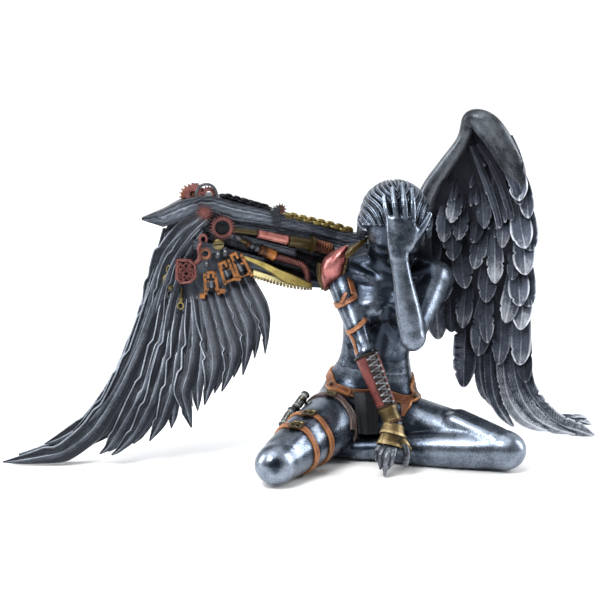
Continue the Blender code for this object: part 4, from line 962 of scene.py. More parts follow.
def add_hair_cap(clay):
    """The combed hair over the skull, parted into locks and fine strands."""
    right, face, crown = head_frame()
    half = HAIR_HALF
    middle = np.array(in_head(0, -2, 1.5))
    region, points = clay.window(middle - 33, middle + 33)
    offset = [points[k] - middle[k] for k in range(3)]
    across, out, up = (sum(offset[k] * way[k] for k in range(3)) for way in (right, face, crown))
    scaled = np.sqrt((across / half[0]) ** 2 + (out / half[1]) ** 2 + (up / half[2]) ** 2)
    reach = np.sqrt(across**2 + out**2 + up**2)
    turn = np.arctan2(across, up) + 0.03 * out * np.sign(across) * 0.3
    sweep = turn + 0.10 * np.sin(out * 0.16) * np.sign(across)
    locks = np.sin(17 * sweep + 1.5 * np.sin(3.1 * sweep) + 0.07 * out)
    strands = np.sin(83 * sweep + 3 * np.sin(5 * sweep) + 0.25 * out)
    relief = 0.55 - 1.5 * (1 - np.abs(locks)) ** 1.2 + 0.34 * strands
    cap = reach * (1 - 1 / np.maximum(scaled, 0.05)) - relief
    hairline = out * 0.86 - up * 0.42 - 12.2 + 1.0 * np.abs(np.sin(13 * sweep)) + 0.010 * across**2
    cap = np.maximum(cap, hairline)
    clay.field[region] = np.minimum(clay.field[region], cap)


def add_side_locks(clay):
    """Locks that sweep from the temples back to the knot."""
    for way in (-1, 1):
        for k in range(6):
            drop = k * 2.6
            rows = [
                head_row(way * (19.5 + 0.3 * k), 9.5 - 1.1 * k, 2 - drop, 1.2),
                head_row(way * (22.0 + 0.2 * k), 4.5 - k, -1.5 - drop, 2.0),
                head_row(way * (22.4 - 0.4 * k), -5 - k, -3 - drop, 2.3),
                head_row(way * (17.5 - 1.0 * k), -17 - k * 0.5, -5.5 - drop * 0.8, 2.2),
                head_row(way * (7.5 - 0.8 * k), -26, -6 - drop * 0.5, 2.0),
            ]
            add_bar(clay, rows, blend=0.5, per_span=4)


def add_knot(clay):
    """The wound knot at the back of the head."""
    for k in range(9):
        angle = k * 2 * math.pi / 9
        rows = [
            head_row(7.5 * math.cos(angle), -22.5, -3 + 7.5 * math.sin(angle), 2.4),
            head_row(8.6 * math.cos(angle + 0.7), -28.5, -5 + 8.6 * math.sin(angle + 0.7), 2.6),
            head_row(5.2 * math.cos(angle + 1.5), -34.0, -7 + 5.2 * math.sin(angle + 1.5), 2.4),
            head_row(0.8 * math.cos(angle + 2.1), -36.5, -8, 1.6),
        ]
        add_bar(clay, rows, blend=0.7, per_span=4)
    add_bar(clay, [head_row(0, -22, -3, 8), head_row(0, -31, -6, 6)], blend=1)


def add_loose_ends(clay):
    """The loose ends of the knot, down the nape."""
    for k in range(5):
        x = (k - 2) * 2.6
        rows = [head_row(x, -28, -12, 1.9), head_row(x * 1.3, -27, -21, 1.7),
                head_row(x * 1.1, -21, -29 - k % 2 * 3, 0.8)]
        add_bar(clay, rows, blend=0.5, per_span=4)


def build_hair(paint):
    centre = np.array(in_head(0, -6, 0))
    clay = Clay(centre - (34, 42, 34), centre + (34, 42, 34), HAIR_STEP)
    add_hair_cap(clay)
    add_side_locks(clay)
    add_knot(clay)
    add_loose_ends(clay)
    hair = clay_piece(clay, "hair", paint, HAIR_TRIANGLES)
    hair["spread"], hair["relief"] = 4, 0.22


def build_claws(paint):
    """The right hand in its metal glove: plated fingers that end in claws."""
    clay = Clay((40, -72, -1), (78, -34, 40), 0.34)
    model_right_hand(clay)
    rows = ((63, -46, 25), (68, -52, 19), (69.5, -55.5, 13), (68.5, -57, 6.5))
    for root, middle, tip in (*RIGHT_FINGERS, rows[1:]):
        root, middle, tip = (np.array(p, float) for p in (root, middle, tip))
        for a, b, size in ((root, middle, 2.75), (middle, tip, 2.5)):
            for share in (0.08, 0.5):
                low = a + (b - a) * share
                high = low + unit(b - a) * 1.7
                add_bar(clay, [(*low, size - share * 0.4), (*high, size - 0.7)], blend=0.15, per_span=2)
    stand_on_ground(clay)
    clay_piece(clay, "claws", paint, CLAW_TRIANGLES)


def limb_fields():
    """Fields of the right arm, the right thigh and the trunk, each without its neighbours."""
    arm = Clay((0, -80, 0), (95, 30, 150), 1.0)
    add_bar(arm, limb(SHOULDER_RIGHT, ELBOW_RIGHT, UPPER_ARM_RIGHT), side=(1, 0, 0), blend=4, per_span=3)
    add_bar(arm, limb(ELBOW_RIGHT, WRIST_RIGHT, FOREARM_RIGHT), side=(1, 0, 0), blend=2.5, per_span=3)
    hand = Clay((40, -75, 0), (85, -30, 45), 0.8)
    model_right_hand(hand)
    thigh = Clay((-50, -110, -12), (75, 40, 70), 1.0)
    add_bar(thigh, limb(HIP_RIGHT, KNEE_RIGHT, THIGH_RIGHT), side=(0, 0.3, 1), blend=7, per_span=3)
    model_thigh_muscles(thigh, HIP_RIGHT, KNEE_RIGHT)
    trunk = Clay((-10, -60, -10), (120, 60, 110), 1.0)
    model_torso(trunk)
    for hip, knee, thigh_rows in ((HIP_RIGHT, KNEE_RIGHT, THIGH_RIGHT), (HIP_LEFT, KNEE_LEFT, THIGH_LEFT)):
        add_bar(trunk, limb(hip, knee, thigh_rows), side=(0, 0.3, 1), blend=7, per_span=3)
    return Field(arm), Field(hand), Field(thigh), Field(trunk)


def buckle(shapes, back, field, point, way, half_along=3.4, half_across=3.1):
    """A square frame with a prong, lying on the strap at the point."""
    point = field.onto(point)[0]
    out = field.slope(point)[0]
    along = unit(np.array(way) - out * float(np.dot(way, out)))
    across = np.cross(along, out)
    base = point + out * 2.0
    plate = [base + along * (half_along - 0.6) * a + across * (half_across - 0.6) * b - out * 0.4
             for a, b in SQUARE]
    back.add(*loft([[p - out * 0.9 for p in plate], plate]))
    corners = []
    for a, b in ((-1, -1), (-1, 0), (-1, 1), (0, 1), (1, 1), (1, 0), (1, -1), (0, -1)):
        corners.append(base + along * half_along * a + across * half_across * b - out * 0.35 * abs(a))
    shapes.add(*tube(corners, 0.8, 8, closed=True))
    shapes.add(*tube([base - along * half_along, base + along * half_along * 1.1 + out * 0.5], 0.5, 8))
    shapes.add(*tube([base - across * half_across, base + across * half_across], 0.55, 8))


# Narrow straps up the arm: their middle line, half width and thickness.
ARM_BANDS = (
    (((33.8, -8, 131), (35.0, -10, 126), (36.0, -13, 120), (36.4, -15, 113)), 1.8, 1.1),
    (((29.6, -18, 115.2), (27.6, -19, 111.6), (25.4, -19, 107.6)), 1.3, 1.4),
    (((30.9, -26, 86.4), (32.4, -30, 84.0), (34.0, -32, 80.5), (36.4, -35, 76.0)), 1.1, 1.0),
)
# The belt around the hips, its free end, and the leather wedges that hang from it.
BELT = ((16.7, -4, 54.0), (19.4, -9, 52.9), (26.6, -14, 51.4), (35.2, -18, 49.1), (43.7, -20, 47.0),
        (53, -20, 45.6), (63, -19, 45.4), (71, -16, 45.2), (78, -10, 45.4), (83, 2, 47.5), (80, 20, 51),
        (62, 33, 53), (40, 33, 54.5), (22, 24, 55.5), (14.5, 9, 55.4), (16.7, -4, 54.0))
BELT_FLAP = ((16.5, -5, 53.4), (20.0, -10, 52.4), (26.6, -14, 50.6), (34.0, -18, 48.8))
RIGHT_WEDGE = ((71, -18, 46.0), (69, -21, 42.0), (67, -23, 38.0), (65.4, -25, 33.5))
LEFT_WEDGE = ((19.0, -14, 46.0), (25.2, -20, 42.3), (31.0, -25, 37.0), (34.8, -28, 31.0), (37.2, -31, 24.0))


def build_straps(arm, thigh, trunk, paints):
    leather, dark, brass = Shapes(), Shapes(), Shapes()
    hip, knee = np.array(HIP_RIGHT, float), np.array(KNEE_RIGHT, float)
    way = unit(knee - hip)
    up = unit(np.array((0, 0, 1.0)) - way * way[2])
    side = np.cross(way, up)
    for index, share in enumerate(THIGH_STRAP_SHARES):
        middle = hip + (knee - hip) * share
        ring = ring_path(thigh, middle, way, 96)
        group = dark if index == 0 else leather
        strap_on(group, thigh, ring, 1.6 if index == 0 else 2.0, 1.5, closed=True)
        top = middle + (up * math.cos(0.12) - side * math.sin(0.12)) * 20
        towards = unit(np.cross(way, up))
        size = 2.6 if index == 0 else 3.6
        buckle(brass, dark, thigh, top, towards, size, size * 0.9)
    for middle, facing, half in ARM_STRAPS:
        ring = ring_path(arm, middle, facing, 64, reach=18)
        strap_on(leather, arm, ring, half * 0.8, 1.0, closed=True)
    for rows, half, thick in ARM_BANDS:
        strap_on(leather, arm, curve_through(rows, 6), half, thick)
    strap_on(leather, trunk, curve_through(BELT, 8)[:-1], 3.1, 1.8, closed=True)
    strap_on(leather, trunk, curve_through(BELT_FLAP, 6), np.linspace(3.9, 2.9, 19), 2.4)
    strap_on(leather, trunk, curve_through(RIGHT_WEDGE, 5), np.linspace(4.6, 0.8, 16), 1.6)
    strap_on(dark, trunk, curve_through(LEFT_WEDGE, 6), np.linspace(1.6, 3.0, 25), 1.3)
    for x, y, z in ((18.6, -9, 53.6), (77.5, -11, 45.2)):
        point = trunk.onto((x, y, z), 2.6)[0]
        brass.add(*ball(point, 1.25, count=7))
    add_pieces((
        (leather, "straps", "leather", 50, 0.0),
        (dark, "dark_straps", "dark_leather", 50, 0.0),
        (brass, "buckles", "brass", 60, 0.0),
    ), paints, "figure")


def sleeve(shapes, start, end, field, rows, sides=48, reach=16.0):
    """A sleeve around a limb: rows of share along it and thickness over it."""
    start, end = np.array(start, float), np.array(end, float)
    way = unit(end - start)
    outer, inner, coords = [], [], []
    for share, thick in rows:
        middle = start + (end - start) * share
        ring = ring_path(field, middle, way, sides, reach=reach)
        out = ring - middle
        out /= np.linalg.norm(out, axis=1, keepdims=True)
        outer.append(ring + out * thick)
        inner.append(ring - out * 0.6)
    rings = [inner[0], *outer, inner[-1]]
    length = float(np.linalg.norm(end - start))
    marks = [rows[0][0], *[r[0] for r in rows], rows[-1][0]]
    for mark in marks:
        coords += [(mark * length, k * 2 * math.pi * 8 / sides, 1.0) for k in range(sides)]
    points, faces = loft([list(r) for r in rings])
    shapes.add(points, faces, coords)
    return outer


FOREARM_START, FOREARM_END = np.array(ELBOW_RIGHT, float), np.array(WRIST_RIGHT, float)
FOREARM_WAY = unit(FOREARM_END - FOREARM_START)
# The side of the forearm the laces are on, square to its length, and how often they cross.
LACED_SIDE = unit(np.array((0.42, -1.0, 0.1)) - FOREARM_WAY * float(np.dot((0.42, -1.0, 0.1), FOREARM_WAY)))
LACES = 8


def on_bracer(arm, share, turn, height):
    """A point over the forearm: its share of the length, its turn from the laces, its height."""
    sideways = np.cross(FOREARM_WAY, LACED_SIDE)
    middle = FOREARM_START + (FOREARM_END - FOREARM_START) * share
    ray = LACED_SIDE * math.cos(turn) + sideways * math.sin(turn)
    steps = np.arange(1, 16, 0.1)
    values = arm.at(middle + steps[:, None] * ray)
    return middle + ray * (steps[np.nonzero(values > 0)[0][0]] + height)


def bracer(red, brass, arm):
    shares = np.linspace(0.05, 0.76, 15)
    rows = [(s, 0.9 + 0.2 * math.sin(s * 9)) for s in shares]
    rings = sleeve(red, ELBOW_RIGHT, WRIST_RIGHT, arm, rows)
    for ring, size in ((rings[0], 0.95), (rings[-1], 0.8)):
        brass.add(*tube(ring, size, 8, closed=True))


def laced_gap(red, dark, arm):
    """The raised edges of the laced gap, and the dark tongue under it."""
    for edge in (-0.42, 0.42):
        path = [on_bracer(arm, s, edge, 1.3) for s in np.linspace(0.06, 0.75, 20)]
        red.add(*tube(path, 0.5, 8))
    section = ((-0.38, 0.8), (-0.38, 1.35), (0.0, 1.5), (0.38, 1.35), (0.38, 0.8))
    tongue = [[on_bracer(arm, s, t, h) for t, h in section] for s in np.linspace(0.06, 0.75, 16)]
    dark.add(*loft(tongue))


def lacing(silver, arm):
    zigzag = []
    for k in range(LACES * 2 + 1):
        share = 0.075 + 0.66 * k / (LACES * 2)
        zigzag.append(on_bracer(arm, share, 0.44 if k % 2 else -0.44, 1.9))
    path = []
    for a, b in zip(zigzag, zigzag[1:]):
        for s in (0, 0.12, 0.5, 0.88):
            path.append(a + (b - a) * s + LACED_SIDE * (0.9 * math.sin(math.pi * s)))
    silver.add(*tube(path, 0.5, 8))
    for end in zigzag:
        silver.add(*ball(end - LACED_SIDE * 0.1, 0.75, count=5))


def wrist_cuff(brass, copper, arm):
    """The cuff at the wrist and its two copper rings."""
    cuff = [(0.765, 0.8), (0.79, 1.3), (0.83, 0.8), (0.90, 0.8), (0.95, 1.2), (0.975, 0.8)]
    sleeve(brass, ELBOW_RIGHT, WRIST_RIGHT, arm, cuff)
    for share, size in ((0.77, 0.75), (0.985, 0.95)):
        middle = FOREARM_START + (FOREARM_END - FOREARM_START) * share
        ring = ring_path(arm, middle, FOREARM_WAY, 48, reach=15)
        out = (ring - middle) / np.linalg.norm(ring - middle, axis=1, keepdims=True)
        copper.add(*tube(ring + out * 1.1, size * 0.8, 8, closed=True))


def hand_plate(brass, hand):
    """The plate over the back of the hand, in two overlapping flares."""
    knuckles = np.array((58.0, -52.5, 18.0))
    for a, b, base, lip in ((0.05, 0.5, 0.6, 1.6), (0.35, 0.95, 0.5, 1.3)):
        rows = [(a + (b - a) * s, base + (lip - base) * s**2) for s in np.linspace(0, 1, 7)]
        sleeve(brass, WRIST_RIGHT, knuckles, hand, rows, reach=14)


def build_armour(arm, hand, paints):
    red, brass, copper, silver, dark = (Shapes() for _ in range(5))
    bracer(red, brass, arm)
    laced_gap(red, dark, arm)
    lacing(silver, arm)
    wrist_cuff(brass, copper, arm)
    hand_plate(brass, hand)
    add_pieces((
        (red, "bracer", "red_leather", 60, 0.0),
        (brass, "brass_trim", "old_brass", 50, -0.12),
        (copper, "copper_rings", "copper", None, 0.0),
        (silver, "lacing", "silver", None, 0.6),
        (dark, "tongue", "dark_leather", None, 0.0),
    ), paints, "figure")


# The shoulder plate as it shows: rows from its upper tip to its lower tip.
PLATE = (
    (31.8, -3.0, 142.4, 0.8, 2.5),
    (29.6, -2.6, 139.2, 3.6, 6.0),
    (26.8, -1.8, 134.8, 6.4, 8.6),
    (23.8, -0.6, 129.6, 8.7, 10.4),
    (21.6, 0.4, 124.4, 8.7, 10.4),
    (19.6, 1.0, 119.6, 6.4, 8.5),
    (18.2, 1.0, 115.6, 3.4, 5.5),
    (17.2, 1.0, 112.4, 0.8, 3.0),
)


def rim_at(row, across, front, turn):
    return row[:3] + across * (row[3] * math.cos(turn)) + front * (row[4] * math.sin(turn)) + front * 0.2


def build_pauldron(paints):
    plate, gold = Shapes(), Shapes()
    rows = curve_through(PLATE, 8)
    ways = tangents(rows[:, :3])
    rings, edges = [], {"right": [], "left": []}
    for row, way in zip(rows, ways):
        front = unit(np.array((-0.25, -1.0, 0.1)) - way * float(np.dot((-0.25, -1.0, 0.1), way)))
        across = np.cross(front, way)
        if across[0] < 0:
            across = -across
        ring = []
        for k in range(36):
            t = 2 * math.pi * k / 36
            rise = math.sin(t) * (1 if math.sin(t) > 0 else 0.75)
            ring.append(row[:3] + across * row[3] * math.cos(t) + front * row[4] * rise)
        rings.append(ring)
        edges["right"].append(rim_at(row, across, front, 0.42))
        edges["left"].append(rim_at(row, across, front, math.pi - 0.3))
    plate.add(*loft(rings))
    right = edges["right"]
    gold.add(*tube(right[4:], 1.15, 8, flat=0.7))
    gold.add(*tube([right[-1], (np.array(right[-1]) + edges["left"][-1]) / 2 - (0, 0, 1.0),
                    edges["left"][-1]], 0.9, 8))
    low_left = edges["left"][int(len(rows) * 0.52):]
    gold.add(*tube(low_left, 1.0, 8))
    for a, b in zip(low_left[::2], low_left[1::2]):
        middle = (np.array(a) + b) / 2
        way = unit(np.array(b) - a)
        out = unit(np.cross(way, (0, -1, 0)))
        if out[0] > 0:
            out = -out
        gold.add(*tube([middle, middle + out * 2.2], 0.75, 6))
    # the crest line at the top, with its own trim, and the rivet
    crest = [(46.0, -4.0, 149.0, 0.4), (42.5, -6.0, 146.2, 1.1), (38.5, -8.0, 143.6, 1.9),
             (34.5, -9.6, 140.8, 2.5), (31.6, -10.4, 137.6, 2.2), (30.8, -10.8, 135.4, 0.8)]
    blade(gold, crest, (-0.3, -1, 0.1), 1.0,
          profile=((-1, 0), (-0.8, 0.9), (0, 1.2), (0.8, 0.9), (1, 0), (0, -0.8)), step=0.8)
    gold.add(*ball((30.0, -8.4, 129.3), 1.5, count=8))
    add_pieces((
        (plate, "pauldron", "copper_red", None, 0.0),
        (gold, "pauldron_trim", "gold", 60, 0.0),
    ), paints, "figure")


def build_apron(paints):
    cloth = Shapes()
    rings = []
    for z, y, middle, half in ((46, -19, 43.5, 8.2), (41, -21.5, 43.8, 8.0), (36, -23.5, 44.2, 7.6),
                               (30, -25.5, 44.6, 7.2), (25, -26.5, 45, 6.8), (20, -27, 45.2, 6.4)):
        front, back = [], []
        for k in range(25):
            u = k / 12 - 1
            fold = 0.5 * math.cos(u * 5.5 + (48 - z) * 0.05) + 0.2 * math.cos(u * 13 + 1)
            x = middle + u * half
            front.append((x, y - 1.2 - fold * 0.6 + 1.6 * u * u, z))
            back.append((x, y + 0.8 + 1.6 * u * u, z))
        rings.append(front + back[::-1])
    cloth.add(*loft(rings))
    cloth.piece("apron", paints["dark_pewter"], "figure", crease=50)


def build_vials(paints):
    metal, red, brass, hollow = (Shapes() for _ in range(4))
    for start, end in VIALS:
        start, end = np.array(start, float), np.array(end, float)
        profile = ((-0.06, 0.6), (-0.05, 2.4), (0.02, 3.1), (0.10, 3.1), (0.12, 2.6), (0.26, 2.6),
                   (0.27, 3.0), (0.31, 3.0), (0.32, 2.6), (0.72, 2.6), (0.73, 3.0), (0.77, 3.0), (0.78, 2.6),
                   (0.90, 2.6), (0.92, 3.1), (1.0, 3.1), (1.05, 2.4), (1.06, 0.6))
        metal.add(*turned(start, end, profile, 24))
        way = unit(end - start)
        across = unit(np.cross(way, (0, 1, 0)))
        front = np.cross(across, way)
        for k in range(10):
            turn = 2 * math.pi * k / 10
            rib = start + (across * math.cos(turn) + front * math.sin(turn)) * 2.6
            metal.add(*tube([rib + (end - start) * 0.34, rib + (end - start) * 0.70], 0.42, 6))
    a, b = np.array(VIALS[0][1], float), np.array(VIALS[1][0], float)
    red.add(*turned(a + (b - a) * 0.1, a + (b - a) * 0.9, ((0, 1.0), (0.01, 1.8), (0.99, 1.8), (1, 1.0)), 16))
    for start, end in VIALS:
        start, end = np.array(start, float), np.array(end, float)
        middle = start + (end - start) * 0.5
        hold = middle + np.array((3.6, 2.0, -3.0))
        brass.add(*tube([middle + (0.2, -2.6, 2.0), middle + (2.2, -1.0, 1.6), hold], 0.9, 8))
    # A black disc just past the open end of the lower vial: a painted shadow in its mouth.
    start, end = (np.array(p, float) for p in VIALS[1])
    hollow.add(*turned(end + (end - start) * 0.02, end + (end - start) * 0.09, ((0, 1.7), (1, 1.7)), 20))
    add_pieces((
        (hollow, "vial_mouth_shadow", "shadow_black", 50, 0.0),
        (metal, "vials", "canister", 50, 0.15),
        (red, "vial_band", "red_metal", None, 0.0),
        (brass, "vial_clips", "brass", None, 0.0),
    ), paints, "figure")


def resampled(rows, step):
    """A smooth path through the rows with points at an even spacing."""
    fine = curve_through(rows, 8)
    length = run_of(fine)
    count = max(4, int(length[-1] / step))
    marks = np.linspace(0, length[-1], count)
    return np.stack([np.interp(marks, length, fine[:, k]) for k in range(fine.shape[1])], axis=1), marks


def plume(shapes, rows, face, thick, dish=0.0, barbs=0.3, step=0.75, notches=3, round_tip=True, kind=1.0,
          point=0.0, pitch=1.9, shade_and_highlight=0.0, rim_highlight=0.25):
    """One feather: a vane with a shaft, barbs that slope to the tip, and a few splits in its edges."""
    path, marks = resampled(rows, step)
    total = marks[-1]
    share = marks / total
    widths = path[:, 3].copy()
    if round_tip:
        top = widths.max()
        reach = (1.35 + random.random() * 0.7 + point) * top
        end = np.clip((total - marks) / reach, 0, 1)
        widths = np.maximum(widths, top * 0.9) * np.maximum(1 - (1 - end) ** 2, 0.004) ** 0.55
        widths = np.where(share < 0.5, np.minimum(widths, path[:, 3]), widths)
    # The feather's painted shade or highlight, with a random spread of tone.
    shade = shade_and_highlight + random.uniform(-0.10, 0.10)
    edge = {-1: widths.copy(), 1: widths.copy()}
    for _ in range(notches):
        side = -1 if random.random() < 0.5 else 1
        at = total * (0.35 + 0.55 * random.random())
        depth, span = 0.12 + 0.22 * random.random(), 0.9 + 0.9 * random.random()
        edge[side] = edge[side] * (1 - depth * np.clip(1 - np.abs(marks - at) / span, 0, 1))
    phase = random.random() * 6
    columns = (-1, -0.9, -0.75, -0.6, -0.45, -0.3, -0.16, -0.07, 0, 0.07, 0.16, 0.3, 0.45, 0.6, 0.75, 0.9, 1)
    back = (0.8, 0.4, 0, -0.4, -0.8)
    ways = tangents(path[:, :3])
    face = unit(face)
    rings, coords, shades_and_highlights = [], [], []
    for i, (row, way) in enumerate(zip(path, ways)):
        across = unit(np.cross(way, face))
        front = unit(np.cross(across, way))
        ring = []
        for u in columns:
            half = edge[-1 if u < 0 else 1][i]
            slope = marks[i] - abs(u) * half * 1.5
            wave = math.sin(2 * math.pi * slope / pitch + phase + 0.9 * math.sin(slope * 0.31 + u * 2))
            height = thick * 0.55 * (1 - u * u) - dish * (1 - u * u) * min(1.0, share[i] * 1.6)
            height += 0.42 * math.exp(-((u * half / 0.55) ** 2)) * (1 - 0.6 * share[i])
            height += barbs * 0.5 * wave * (1 - math.exp(-((u * half / 0.8) ** 2)))
            rim = 0.25 * math.exp(-(((1 - abs(u)) / 0.13) ** 2)) if dish > 0 else 0.0
            ring.append(row[:3] + across * half * u + front * (height + rim))
            coords.append((marks[i], u * half, kind))
            # Painted highlight on the rim and at the tip, painted shade toward the root, and painted
            # highlight along the shaft.
            near_tip = math.exp(-(((total - marks[i]) / 1.3) ** 2)) if round_tip else 0.0
            edge_highlight = rim_highlight * max(near_tip, math.exp(-(((1 - abs(u)) / 0.16) ** 2)) * share[i])
            shades_and_highlights.append(shade + 0.30 * (share[i] - 0.6) + edge_highlight + 0.12
                         * math.exp(-((u * half / 0.5) ** 2)))
        for u in back:
            half = edge[-1 if u < 0 else 1][i]
            height = -thick * 0.5 * (1 - 0.5 * u * u) - dish * (1 - u * u) * min(1.0, share[i] * 1.6)
            ring.append(row[:3] + across * half * u + front * height)
            coords.append((marks[i], u * half, kind))
            shades_and_highlights.append(shade)
        rings.append(ring)
    points, faces = loft(rings)
    shapes.add(points, faces, coords, shades_and_highlights)


def covert_rows(x, z, length, half_width, lean, lift, way, wave=0.0):
    """Rows of a feather on the wing's sheet, way -1 on its front and 1 on its back."""
    rows = []
    for share, width in ((0.0, 0.55), (0.3, 0.85), (0.6, 1.0), (0.85, 0.97), (1.0, 0.8)):
        px, pz = x + lean * (1 - share) + wave * math.sin(math.pi * share), z + length * (1 - share)
        surface = feathered_depth(px) + (0 if way < 0 else 3.2)
        rows.append((px, surface - way * 1.2 + way * (lift + 1.2) * share**1.2, pz, half_width * width))
    return rows


# Long narrow coverts over the lower end of the smooth cap.
LONG_COVERTS = (
    ((121, 11.5, 214, 2.0), (130.5, 7.5, 204, 3.0), (138.5, 4.0, 190, 3.4), (143.5, 2.0, 177, 3.0),
     (145.5, 1.0, 169, 2.4)),
    ((118, 13.5, 208, 1.6), (126, 10.5, 197, 2.4), (133.0, 7.5, 183, 2.8), (138, 4.5, 168, 2.6),
     (140.5, 3.4, 158, 2.2)),
    ((114, 16, 206, 1.4), (120, 14.0, 192, 2.2), (126.0, 11.5, 177, 2.4), (131, 9.0, 162, 2.2),
     (133, 8.0, 152, 1.8)),
)


# How many small tufts stand at the upper edge of the feathers.
TUFTS = 46


def add_wing_bone(paints):
    """The leading bone and its cap, smooth, with long soft grooves, and the stub at the back."""
    bones = Shapes()
    for rows, sides, grooves in ((FEATHERED_BONE, 64, 0.35), (FEATHERED_CAP, 64, 0.0)):
        path, marks = resampled(rows, 1.2)
        ways = tangents(path[:, :3])
        rings, coords = [], []
        for row, way, mark in zip(path, ways, marks):
            across = unit(np.cross(way, (0, 1, 0)))
            front = np.cross(across, way)
            ring = []
            for k in range(sides):
                t = 2 * math.pi * k / sides
                ripple = grooves * math.sin(9 * t + 1.5 * math.sin(mark * 0.05)) * max(0.0, math.sin(t + 0.5))
                wide, deep = row[3] + ripple, row[4] + ripple
                ring.append(row[:3] + across * wide * math.cos(t) + front * deep * math.sin(t))
                coords.append((mark, t, 0.0))
            rings.append(ring)
        bones.add(*loft(rings), coords)
    root = [(77, 24.6, 127, 10, 13), (77, 30, 127, 10, 13), (77, 37, 127, 9, 12)]
    rings = []
    for x, y, z, w, h in root:
        rings.append([(x + w * math.cos(t), y, z + h * math.sin(t))
                      for t in (2 * math.pi * k / 40 for k in range(40))])
    bones.add(*loft(rings))
    bones.piece("wing_bone", paints["bone"], "feathered_wing", crease=60, lift=0.16)


def add_wing_sheet(paints):
    """The sheet that carries the feathers, ribbed where it is bare at the top."""
    sheet = Shapes()
    rows = [row if row[0] > 90 else (row[0], row[1] + (92 - row[0]) * 0.5 + 6, row[2]) for row in SHEET]
    rows = curve_through(rows, 8)
    rings, coords = [], []
    for z, left, right in rows:
        front, back, mark_front, mark_back = [], [], [], []
        for k in range(70):
            x = left + (right - left) * k / 69
            fold = 0.7 * math.sin((x - 100) * 0.42 + z * 0.10) * math.sin(z * 0.045 + x * 0.09)
            fold += 0.35 * math.sin(x * 1.7 + z * 0.55 + 2 * math.sin(z * 0.11))
            front.append((x, feathered_depth(x) + 0.3 - fold, z))
            back.append((x, feathered_depth(x) + 2.9, z))
            mark_front.append((z, x, 0.5))
            mark_back.append((z, x, 0.0))
        rings.append(front + back[::-1])
        coords += mark_front + mark_back
    sheet.add(*loft(rings), coords)
    # The sheet is painted darker, as shade in the hollow of the wing.
    sheet.piece("wing_sheet", paints["feather"], "feathered_wing", crease=60, lift=-0.12)


def add_inner_and_outer_feathers(front):
    """The feathers in rows: tousled ones near the body, broad dished ones at the outer edge."""
    for x, z, length, half, lean, lift in FRONT_FEATHERS:
        outer = x > 144 and z > 58
        if outer:
            x, half, lift = x - 0.8, half * 1.16, lift + 1.2
        else:
            half, lean = half * 1.02, lean + random.uniform(-5.0, 5.0)
            lift += random.uniform(-0.8, 1.4)
        rows = covert_rows(x, z, length, half, lean, lift, -1, wave=random.uniform(-1.6, 1.6))
        twist = np.array((random.uniform(-0.22, 0.22), 0, random.uniform(-0.05, 0.25)))
        face = sheet_front(x, -1) + twist
        # Inner feathers get painted shade, at one of three depths at random; outer ones a stronger rim of
        # painted highlight.
        plume(front, rows, face, 1.7, dish=1.3 if outer else random.uniform(-0.3, 0.9),
              barbs=0.12 if outer else 0.5, kind=0.3 if outer else 1.0, notches=1 if outer else 4,
              point=0.0 if outer else 0.5, shade_and_highlight=0.0 if outer else random.choice((-0.22, -0.12, 0.0)),
              rim_highlight=0.26 if outer else 0.12)


def add_tufts(front):
    """Small tufts where the bare sheet turns into feathers."""
    for _ in range(TUFTS):
        z = random.uniform(138, 196)
        left = 88 + (z - 138) * 0.42
        x = random.uniform(left, 140)
        if z > 178 and x < 122:
            continue
        length, half = random.uniform(9, 16), random.uniform(1.6, 3.2)
        rows = covert_rows(x, z, length, half, random.uniform(0, 3), random.uniform(1.0, 2.6), -1)
        # Tufts are painted a little darker, as shade.
        plume(front, rows, sheet_front(x, -1), 1.1, barbs=0.22, notches=1, point=0.9, shade_and_highlight=-0.12)


def build_feathered_wing(paints):
    add_wing_bone(paints)
    add_wing_sheet(paints)
    front, back, long = (Shapes() for _ in range(3))
    add_inner_and_outer_feathers(front)
    add_tufts(front)
    for rows in LONG_COVERTS:
        # Long coverts: painted shade over the feather, with a bright rim of painted highlight.
        plume(front, rows, (-0.3, -1, 0.2), 1.6, dish=0.3, barbs=0.15, kind=0.4, notches=1, shade_and_highlight=-0.34,
              rim_highlight=0.34)
    add_back_feathers(back)
    add_primaries(long)
    add_pieces((
        (front, "front_feathers", "feather", 50, 0.0),
        (back, "back_feathers", "feather", 50, -0.16),
        # The back feathers are painted darker than the front ones, as shade.
        (long, "primaries", "feather", 50, 0.0),
    ), paints, "feathered_wing")


def add_back_feathers(back):
    for x, z, length, half, lean, lift in BACK_FEATHERS:
        plume(back, covert_rows(x, z, length, half, lean, lift, 1), sheet_front(x, 1), 1.7, dish=0.2,
              barbs=0.3, step=0.95)
    for z, xs in ((176, (118, 128, 138)), (190, (116, 126, 135)), (203, (117, 126))):
        for x in xs:
            rows = covert_rows(x, z, 22, 5.6, -2, 4.0, 1)
            plume(back, rows, sheet_front(x, 1), 1.5, dish=0.2, barbs=0.25, step=0.95)


def add_primaries(long):
    """The long flight feathers, from the inner one out."""
    for i, path in enumerate(PRIMARIES):
        rows = [(x, feathered_depth(x) + 0.6 + 0.35 * i, z, w) for x, z, w in path]
        plume(long, rows, (-0.5, -1, 0.1), 2.6, dish=0.1, barbs=0.75, notches=7, round_tip=False, pitch=2.5,
              shade_and_highlight=0.05)


def sheet_front(x, way):
    slope = (feathered_depth(x + 1) - feathered_depth(x - 1)) / 2
    return unit((-way * slope, way, 0))


BLADE_PROFILE = ((-1.0, 0.1), (-0.97, 0.95), (-0.84, 1.05), (-0.78, 0.25), (-0.35, 0.1), (-0.05, 0.25),
                 (0.0, 0.95), (0.1, 1.12), (0.5, 1.0), (0.88, 0.95), (0.97, 0.8), (1.0, 0.1), (0.6, -0.7),
                 (0.0, -0.9), (-0.6, -0.7))


